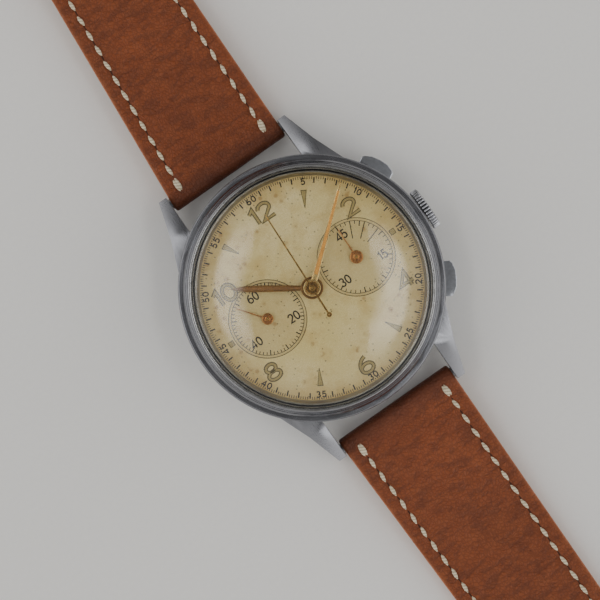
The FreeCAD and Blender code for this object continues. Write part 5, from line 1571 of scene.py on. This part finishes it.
@dataclass
class MovementDress:
    """Finishes of the working parts inside the case."""

    finishes: FinishBook

    def build(self) -> None:
        """Coat every inner node."""
        book = self.finishes
        groups = {
            book.plate: ("main_plate", "barrel_bridge", "train_bridge", "pallet_bridge", "balance_cock"),
            book.brass: ("barrel_drum", "centre_wheel", "third_wheel", "fourth_wheel", "minute_wheel",
                         "hour_wheel", "cannon_pinion", "balance_wheel", "chronograph_runner",
                         "minute_recorder", "coupling_wheel"),
            book.inner_steel: ("escape_wheel", "pallet_fork", "ratchet_wheel", "crown_wheel", "click",
                               "winding_pinion", "clutch_wheel", "column_wheel", "operating_lever",
                               "reset_hammer", "coupling_lever"),
            book.blued: ("hairspring", "bridge_screws"),
            book.spring: ("mainspring",),
        }
        for material, nodes in groups.items():
            for node in nodes:
                coat(node, material)


# ---------------------------------------------------------------- strap
class Face(Enum):
    """Which side of the strap a row of stitches is on."""

    TOP = 1
    UNDER = -1


@dataclass
class StrapHalf:
    """One half of the strap: a rolled loop, a tapering flat run, a stitched border and its end."""

    finishes: FinishBook
    name: str
    node: str
    body: str
    side: int
    run: float
    flat_bottom: float
    end_radius: float
    lean: float
    lean_end: float = 60.0
    bar_y: float = 20.3
    bar_z: float = 2.7
    eye: float = 1.3
    settle_run: float = 20.0
    thickness: float = 2.2
    half_start: float = 9.0
    half_end: float = 8.0
    taper_end: float = 52.0
    tip_run: float = 0.0
    rounding: float = 0.38
    tip_rounding: float = 0.35
    squeeze_below: float = 8.05
    channel_half: float = 0.35
    stitch_inset: float = 2.0
    stitch_pitch: float = 2.36
    stitch_length: float = 1.72
    groove_depth: float = 0.1
    station: float = 1.1
    loop_points: int = 11

    def half_width(self, reach: float) -> float:
        """Half the strap's width at a distance from the bar."""
        y = self.bar_y + reach
        half = mixed(self.half_start, self.half_end, (y - self.bar_y) / (self.taper_end - self.bar_y))
        if self.tip_run and reach > self.run - self.tip_run:
            share = (reach - (self.run - self.tip_run)) / self.tip_run
            half *= math.sqrt(max(0.0, 1 - min(1.0, share) ** 2.2))
        return max(half, 0.25)

    def middle(self, reach: float) -> float:
        """Sideways place of the strap's centre line."""
        y = self.bar_y + max(0.0, reach)
        return self.lean * (min(y, self.lean_end) - self.bar_y)

    def top(self, reach: float) -> float:
        """Height of the upper face."""
        share = reach / self.settle_run
        pinch = 0.1 * math.exp(-((reach - 2.7) / 1.1) ** 2)
        return mixed(self.bar_z + self.eye, self.flat_bottom + self.thickness, share) - pinch

    def under(self, reach: float) -> float:
        """Height of the lower face."""
        share = reach / self.settle_run
        return mixed(self.bar_z - self.eye, self.flat_bottom, share)

    def outline(self) -> list[Point2]:
        """The side outline as (reach, height), from the far end's top round the loop and back."""
        last = self.run - self.end_radius if self.end_radius else self.run
        count = int(last / self.station)
        reaches = [last * step / count for step in range(count + 1)]
        over = [(reach, self.top(reach)) for reach in reversed(reaches)]
        loop = [(self.eye * math.cos(math.radians(turn)),
                 self.bar_z + self.eye * math.sin(math.radians(turn))) for turn in range(105, 256, 15)]
        below = [(reach, self.under(reach)) for reach in reaches]
        if self.end_radius:
            height = self.flat_bottom + self.thickness / 2
            end = [(last + self.end_radius * math.cos(math.radians(turn)),
                    height + self.end_radius * math.sin(math.radians(turn))) for turn in range(-75, 76, 15)]
        else:
            height, half = self.flat_bottom + self.thickness / 2, self.thickness / 2
            end = [(self.run, height - half * 0.55), (self.run, height + half * 0.55)]
            over[0] = (self.run - self.tip_rounding, self.top(self.run))
            below[-1] = (self.run - self.tip_rounding, self.under(self.run))
        return over + loop + below + end

    def rows(self) -> list[float]:
        """Distances in from the side at which the surface has a row of points."""
        edge = [0.0, 0.05, 0.13, 0.24, 0.38, 0.8, 1.35]
        wide, near = self.channel_half, 0.2
        channel = [self.stitch_inset + step for step in (-wide, -near, 0.0, near, wide)]
        return edge + channel + [3.2, 4.6, 6.2, 7.9]

    def inset(self, depth_in: float, stitched: bool) -> float:
        """How far the surface sinks at a distance in from the side."""
        sink = 0.0
        if depth_in < self.rounding:
            short = self.rounding - depth_in
            sink = self.rounding - math.sqrt(max(0.0, self.rounding ** 2 - short ** 2))
        if stitched:
            away = abs(depth_in - self.stitch_inset) / self.channel_half
            sink += self.groove_depth * max(0.0, 1 - away ** 2)
        return sink

    def body_mesh(self) -> Obj:
        """Sweep the side outline across the strap with rounded sides and stitch channels."""
        line = self.outline()
        count = len(line)
        normals = []
        for place in range(count):
            before, after = Vector(line[place - 1]), Vector(line[(place + 1) % count])
            way = (after - before).normalized()
            normals.append(Vector((way.y, -way.x)))
        inward = self.rows()
        across = [(1, depth) for depth in inward] + [(0, 0.0)] + [(-1, depth) for depth in reversed(inward)]
        points, faces = [], []
        for sign, depth in across:
            for (reach, height), normal in zip(line, normals):
                half = self.half_width(reach)
                shrink = min(1.0, half / self.squeeze_below)
                flat = 0.6 < reach < self.run - 1.6 and abs(normal.y) > 0.8
                sink = self.inset(depth, flat) if sign else 0.0
                x = self.middle(reach) + sign * max(0.0, half - depth * shrink)
                spot = Vector((reach, height)) - normal * sink
                points.append((x * MM, self.side * (self.bar_y + spot.x) * MM, spot.y * MM))
        for row in range(len(across) - 1):
            for place in range(count):
                after = (place + 1) % count
                faces.append((row * count + place, row * count + after, (row + 1) * count + after,
                              (row + 1) * count + place))
        for start in (0, (len(across) - 1) * count):
            faces += self.side_wall(start, count)
        return piece(self.name, points, faces)

    def side_wall(self, start: int, count: int) -> list[tuple[int, ...]]:
        """Faces that close one side of the swept body.

        Args:
            start: Index of the side row's first point.
            count: Points in a row.

        Returns:
            Four-sided faces between the upper and lower edges, and one many-sided face at each end.
        """
        last = self.run - self.end_radius if self.end_radius else self.run
        upper = int(last / self.station) + 1
        lower_end = 2 * upper + self.loop_points - 1
        walls = [(start + step, start + step + 1, start + lower_end - step - 1, start + lower_end - step)
                 for step in range(upper - 1)]
        walls.append(tuple(range(start + upper - 1, start + upper + self.loop_points + 1)))
        walls.append((*range(start + lower_end, start + count), start))
        return walls

    def cross_rod(self, name: str, reach: float, height: float, radius: float) -> Obj:
        """A closed rod across the strap, to cut a bar's hole."""
        sides = 32
        turns = [FULL_TURN * step / sides for step in range(sides)]
        points, faces = [], []
        for x in (-14.0, 16.0):
            points += [(x * MM, self.side * (self.bar_y + reach + radius * math.cos(turn)) * MM,
                        (height + radius * math.sin(turn)) * MM) for turn in turns]
        faces += [(step, (step + 1) % sides, sides + (step + 1) % sides, sides + step)
                  for step in range(sides)]
        faces += [tuple(range(sides)), tuple(range(2 * sides - 1, sides - 1, -1))]
        return piece(name, points, faces)

    def holes(self) -> list[Obj]:
        """Tools that cut this half's holes."""
        return [self.cross_rod("bar_hole_tool", 0.0, self.bar_z, 0.8)]

    def paint_values(self, obj: Obj) -> None:
        """Write how near each point is to the edge, and how deep it lies in the painted shade near the
        rolled loop, and pick each face's leather.
        """
        mesh = obj.data
        edge = mesh.attributes.new("edge", "FLOAT", "POINT")
        loop_shade = mesh.attributes.new("loop_shade", "FLOAT", "POINT")
        for point in mesh.vertices:
            reach = self.side * point.co.y / MM - self.bar_y
            gap = self.half_width(reach) - abs(point.co.x / MM - self.middle(reach))
            edge.data[point.index].value = 1 - min(1.0, max(0.0, gap / 1.5))
            # Painted shade value: 1 at the loop round the bar, fading to 0 a few millimetres out.
            loop_shade.data[point.index].value = 1 - smoothed((reach + self.eye * 0.6) / 3.4)
        for face in mesh.polygons:
            normal = face.normal
            reach = self.side * face.center.y / MM - self.bar_y
            steep = abs(normal.x) > 0.72
            low = normal.z < -0.3 and reach > 0.8
            face.material_index = 2 if steep else 1 if low else 0
            face.use_smooth = True

    def stitch_rows(self) -> list[tuple[float, int]]:
        """Reach and side of the start of every stitch on one face."""
        stop = self.run - (self.tip_run + 1.5 if self.tip_run else 5.5)
        count = int((stop - 0.6) / self.stitch_pitch)
        return [(0.6 + step * self.stitch_pitch, sign) for sign in (-1, 1) for step in range(count)]

    def surface(self, reach: float, face: Face) -> float:
        """Height of a face in its stitch channel."""
        if face is Face.TOP:
            return self.top(reach) - self.groove_depth
        return self.under(reach) + self.groove_depth

    def stitches(self) -> None:
        """Sew both borders, with a doubled first stitch, and mark the needle holes with dark strips that
        also paint the groove's shadow.
        """
        scatter = Scatter(7 + self.side)
        points, faces = [], []
        marks = Printing(0.0, 0.012)
        thick = (0.07, 0.17, 0.25, 0.27, 0.25, 0.17, 0.07)
        lift = (-0.04, 0.05, 0.13, 0.15, 0.13, 0.05, -0.04)
        sides, last = 8, len(thick) - 1
        for face in Face:
            for reach, sign in self.stitch_rows():
                first = reach < 1.0
                repeats = (-0.16, 0.16) if first else (0.0,)
                for offset in repeats:
                    slant = sign * scatter.between(0.05, 0.13)
                    long = self.stitch_length * scatter.between(0.94, 1.05) * (1.15 if first else 1)
                    start = len(points)
                    for step in range(last + 1):
                        along = reach + long * step / last
                        half = self.half_width(along) - self.stitch_inset
                        x = self.middle(along) + sign * (half + offset) + slant * (step - 3) / 3
                        level = self.surface(along, face)
                        level += lift[step] if face is Face.TOP else 0.12 - 0.2 * lift[step]
                        for turn in range(sides):
                            swing = FULL_TURN * turn / sides
                            points.append(((x + thick[step] * math.cos(swing)) * MM,
                                           self.side * (self.bar_y + along) * MM,
                                           (level + thick[step] * 0.75 * math.sin(swing)) * MM))
                    for step in range(last):
                        for turn in range(sides):
                            one, two = start + sides * step, start + sides * (step + 1)
                            after = (turn + 1) % sides
                            faces.append((one + turn, one + after, two + after, two + turn))
                    tip = start + sides * last
                    faces.append(tuple(range(start, start + sides)))
                    faces.append(tuple(range(tip + sides - 1, tip - 1, -1)))
                if face is Face.TOP:
                    self.needle_mark(marks, reach, sign)
        sewn = piece("stitches_" + self.node, points, faces, 60)
        dress(sewn, self.body, "strap_leather", self.finishes.thread)
        # Dark strips of the needle holes, partly painted shadow.
        dark = piece("needle_holes_and_shadow_" + self.node, marks.points, marks.faces)
        dress(dark, self.body, "strap_leather", self.finishes.needle)

    def needle_mark(self, marks: Printing, reach: float, sign: int) -> None:
        """Lay the dark slit between two stitches: the needle hole, with painted shadow of its groove."""
        line = []
        for along in (reach - 0.7, reach - 0.35, reach + 0.1):
            x = self.middle(along) + sign * (self.half_width(along) - self.stitch_inset)
            line.append((x, self.side * (self.bar_y + along)))
        marks.stroke(line, 0.1, self.surface(reach - 0.3, Face.TOP) + 0.01)

    def build(self) -> None:
        """Build this half of the strap."""
        obj = self.body_mesh()
        carve(obj, self.holes())
        tidy_normals(obj, 50)
        self.paint_values(obj)
        indices = [face.material_index for face in obj.data.polygons]
        dress(obj, self.body, "strap_leather", self.finishes.leather, self.finishes.lining,
              self.finishes.cut_edge, stands_for=[self.node])
        for face, index in zip(obj.data.polygons, indices):
            face.material_index = index
        self.stitches()


@dataclass
class BuckleSideStrap(StrapHalf):
    """The short half, folded round the buckle's bar with a slot for its tongue."""

    slot_half: float = 1.3
    slot_run: float = 3.8

    def holes(self) -> list[Obj]:
        """The spring-bar hole, the buckle-bar hole and the tongue's slot."""
        last = self.run - self.end_radius
        tools = super().holes()
        tools.append(self.cross_rod("buckle_bar_tool", last, self.flat_bottom + self.thickness / 2, 0.64))
        x = self.middle(last)
        low_y, high_y = self.bar_y + last - self.slot_run + self.end_radius, self.bar_y + self.run + 1
        corners = [(x + across * self.slot_half, y, z) for z in (-1.0, 5.0) for y in (low_y, high_y)
                   for across in (-1, 1)]
        points = [(x * MM, self.side * y * MM, z * MM) for x, y, z in corners]
        faces = [(0, 1, 3, 2), (4, 6, 7, 5), (0, 4, 5, 1), (2, 3, 7, 6), (0, 2, 6, 4), (1, 5, 7, 3)]
        tools.append(piece("slot_tool", points, faces))
        return tools


@dataclass
class TipSideStrap(StrapHalf):
    """The long half with its punched holes and pointed tip."""

    hole_count: int = 7
    hole_start: float = 62.0
    hole_pitch: float = 6.5
    hole_radius: float = 0.9

    def holes(self) -> list[Obj]:
        """The spring-bar hole and the row of punched holes."""
        tools = super().holes()
        for place in range(self.hole_count):
            reach = self.hole_start + place * self.hole_pitch
            middle = (self.middle(reach), self.side * (self.bar_y + reach))
            profile = [(0, -1.0), (self.hole_radius, -1.0), (self.hole_radius, 4.0), (0, 4.0)]
            tools.append(turned("punch_%d" % place, profile, 28, middle))
        return tools


@dataclass
class Keeper:
    """A leather loop round both halves of the strap."""

    finishes: FinishBook
    node: str
    body: str
    inner_half: float = 8.22
    band: float = 0.85
    width: float = 5.0
    corner: float = 0.5
    rounding: float = 0.28

    def build(self) -> None:
        """Sweep the band round its loop."""
        low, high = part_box(self.node)
        middle = (low.x + high.x) / 2 / MM, (low.y + high.y) / 2 / MM
        bottom, top = low.z / MM + self.band, high.z / MM - self.band
        path, ways = [], []
        corners = ((self.inner_half, top, 0), (-self.inner_half, top, 90), (-self.inner_half, bottom, 180),
                   (self.inner_half, bottom, 270))
        for x, z, start in corners:
            mid = (x - math.copysign(self.corner, x), z - (self.corner if z == top else -self.corner))
            for turn in range(0, 91, 15):
                swing = math.radians(start + turn)
                way = Vector((math.cos(swing), math.sin(swing)))
                path.append(Vector(mid) + way * self.corner)
                ways.append(way)
        full = []
        for place, (spot, way) in enumerate(zip(path, ways)):
            full.append((spot, way))
            after = path[(place + 1) % len(path)]
            gap = (after - spot).length
            parts = int(gap / 1.2)
            for part in range(1, parts):
                full.append((spot.lerp(after, part / parts), way))
        half, soft = self.width / 2, self.rounding
        section = []
        for off, y, start in ((self.band - soft, half - soft, 0), (self.band - soft, -half + soft, -90),
                              (soft, -half + soft, -180), (soft, half - soft, -270)):
            for turn in (0, -30, -60, -90):
                swing = math.radians(start + turn + 90)
                section.append((off + soft * math.sin(swing), y + soft * math.cos(swing)))
        section = self.ordered(section)
        points, faces = [], []
        for spot, way in full:
            for off, y in section:
                at = spot + way * off
                points.append(((middle[0] + at.x) * MM, (middle[1] + y) * MM, at.y * MM))
        width, count = len(section), len(full)
        for row in range(count):
            one, two = row * width, ((row + 1) % count) * width
            faces += [(one + part, one + (part + 1) % width, two + (part + 1) % width, two + part)
                      for part in range(width)]
        obj = piece(self.node + "_loop", points, faces, 50)
        edge = obj.data.attributes.new("edge", "FLOAT", "POINT")
        # The keeper gets no painted shade; its loop value stays 0.
        obj.data.attributes.new("loop_shade", "FLOAT", "POINT")
        for point in obj.data.vertices:
            gap = half - abs(point.co.y / MM - middle[1])
            edge.data[point.index].value = 1 - min(1.0, gap / 0.9)
        dress(obj, self.body, "keeper_leather", self.finishes.keeper, stands_for=[self.node])

    @staticmethod
    def ordered(section: Sequence[Point2]) -> list[Point2]:
        """The section's points in order round their middle."""
        total = Vector((sum(point[0] for point in section), sum(point[1] for point in section)))
        middle = total / len(section)
        return sorted(section, key=lambda point: math.atan2(point[1] - middle.y, point[0] - middle.x))


@dataclass
class Buckle:
    """The polished frame buckle with its bar and tongue."""

    finishes: FinishBook

    def build(self) -> None:
        """Round off and finish the buckle's parts."""
        frame_piece = softened("buckle_frame", "buckle_frame_polished", 0.35, 28, 3)
        dress(frame_piece, "buckle", "buckle_steel", self.finishes.buckle)
        coat("buckle_bar", self.finishes.buckle)
        tongue = softened("buckle_tongue", "buckle_tongue_polished", 0.18, 28, 3)
        dress(tongue, "tongue", "buckle_steel", self.finishes.buckle)


# ---------------------------------------------------------------- studio
@dataclass
class Studio:
    """Pale floor, two soft boxes, a dimmer sky overhead and the camera."""

    finishes: FinishBook
    turn: float = math.radians(-35)
    centre: Point2 = (-2.25, -0.4)
    camera_height: float = 342.5
    lens: float = 150.0
    lamp_height: float = 0.6
    lamp_reach: float = 0.33
    lamp_size: Point2 = (0.22, 0.66)
    lamp_power: float = 1.5
    lamp_shares: Point2 = (0.9, 0.82)
    lamp_inner: Point2 = (0.245, 0.3)
    lamp_outer: Point2 = (0.375, 0.405)
    lamp_ends: Point2 = (0.14, 0.28)
    sky_near: float = 0.62
    sky_far: float = 0.12
    sky_flank: float = 1.5
    sky_top: float = 0.2
    floor_size: float = 2.4

    def floor(self) -> None:
        """Lay the floor under the watch."""
        level = CAD_BOX[0].z
        half = self.floor_size / 2
        steps = 8
        spots = [-half + self.floor_size * step / steps for step in range(steps + 1)]
        points = [(x, y, level) for y in spots for x in spots]
        row = steps + 1
        faces = [(low * row + left, low * row + left + 1, (low + 1) * row + left + 1, (low + 1) * row + left)
                 for low in range(steps) for left in range(steps)]
        obj = piece("studio_floor", points, faces)
        obj.data.materials.append(self.finishes.card)

    def lamps(self) -> None:
        """Hang one curved soft box on each side of the view, fading inward and at its ends."""
        side = Matrix.Rotation(self.turn, 3, "Z") @ Vector((1, 0, 0))
        middle = Vector((self.centre[0] * MM, self.centre[1] * MM, self.lamp_height))
        for name, sign, share in zip(("soft_box_right", "soft_box_left"), (1, -1), self.lamp_shares):
            light = bpy.data.lights.new(name, "AREA")
            light.shape = "RECTANGLE"
            light.size, light.size_y = self.lamp_size
            light.energy = self.lamp_power * share
            light.use_nodes = True
            desk = Desk(light.node_tree)
            spot = desk.node("NewGeometry").outputs["Position"]
            moved = desk.node("VectorMath", in0=spot, in1=tuple(-middle))
            x, y = desk.node("SeparateXYZ", in0=moved.outputs[0]).outputs[:2]
            out = desk.sum("SQRT", desk.plus(desk.times(x, x), desk.times(y, y)))
            along = desk.sum("ABSOLUTE", desk.plus(desk.times(x, -side.y),
                                                  desk.times(y, side.x)))
            shape = desk.times(desk.ramp(out, *self.lamp_inner), desk.ramp(out, *self.lamp_outer, 1, 0))
            shape = desk.times(shape, desk.ramp(along, *self.lamp_ends, 1, 0))
            emission = next(node for node in desk.tree.nodes if node.type == "EMISSION")
            desk.tree.links.new(shape, emission.inputs["Strength"])
            lamp = bpy.data.objects.new(name, light)
            lamp.matrix_world = (Matrix.Translation(middle + side * sign * self.lamp_reach)
                                 @ Matrix.Rotation(self.turn, 4, "Z"))
            bpy.context.scene.collection.objects.link(lamp)

    def sky(self) -> None:
        """Light the room softly: dim overhead and beyond twelve o'clock, brighter at both sides."""
        world = bpy.data.worlds.new("studio_room")
        world.use_nodes = True
        desk = Desk(world.node_tree)
        desk.tree.nodes.clear()
        way = desk.node("SeparateXYZ", in0=desk.node("TexCoord").outputs["Generated"])
        x, y, z = way.outputs
        right = Matrix.Rotation(self.turn, 3, "Z") @ Vector((1, 0, 0))
        ahead = desk.plus(desk.times(x, -right.y), desk.times(y, right.x))
        beside = desk.plus(desk.times(x, right.x), desk.times(y, right.y))
        base = desk.ramp(ahead, -0.5, 0.6, self.sky_near, self.sky_far)
        flank = desk.times(desk.times(beside, beside), self.sky_flank)
        low = desk.plus(base, flank)
        over = desk.ramp(z, 0.8, 0.97)
        level = desk.plus(desk.times(low, desk.minus(1.0, over)),
                         desk.times(over, self.sky_top))
        shade = desk.node("Background", Color=(1.0, 0.985, 0.965, 1.0), Strength=level)
        out = desk.tree.nodes.new("ShaderNodeOutputWorld")
        desk.tree.links.new(shade.outputs[0], out.inputs[0])
        bpy.context.scene.world = world

    def camera(self) -> None:
        """Look straight down, with twelve o'clock turned to the upper right."""
        data = bpy.data.cameras.new("product_camera")
        data.lens = self.lens
        data.sensor_width = 36.0
        data.clip_start, data.clip_end = 0.01, 20.0
        camera = bpy.data.objects.new("product_camera", data)
        camera.location = (self.centre[0] * MM, self.centre[1] * MM, self.camera_height * MM)
        camera.rotation_euler = (0.0, 0.0, self.turn)
        bpy.context.scene.collection.objects.link(camera)
        bpy.context.scene.camera = camera

    def build(self) -> None:
        """Set up the studio."""
        self.floor()
        self.lamps()
        self.sky()
        self.camera()


def main() -> None:
    """Build the studio and every sub-assembly of the watch, in order."""
    logging.basicConfig(level=logging.INFO, format="%(name)s: %(message)s")
    finishes = FinishBook()
    upper = BuckleSideStrap(finishes, "strap_buckle_side_leather", "strap_buckle_side", "strap_upper",
                            side=1, run=73.1, flat_bottom=1.1, end_radius=1.1, lean=0.045)
    lower = TipSideStrap(finishes, "strap_tip_side_leather", "strap_tip_side", "strap_lower", side=-1,
                         run=115.0, flat_bottom=0.0, end_radius=0.0, lean=0.011, taper_end=80.0,
                         tip_run=8.0)
    builders = (
        Studio(finishes), WatchCase(finishes), Crystal(finishes), Controls(finishes), DialFace(finishes),
        HandSet(finishes), MovementDress(finishes), upper, lower,
        Keeper(finishes, "keeper_fixed", "strap_upper"), Keeper(finishes, "keeper_loose", "loose_keeper"),
        Buckle(finishes),
    )
    for builder in builders:
        LOG.info("building %s", type(builder).__name__)
        builder.build()


if __name__ == "__main__":
    main()
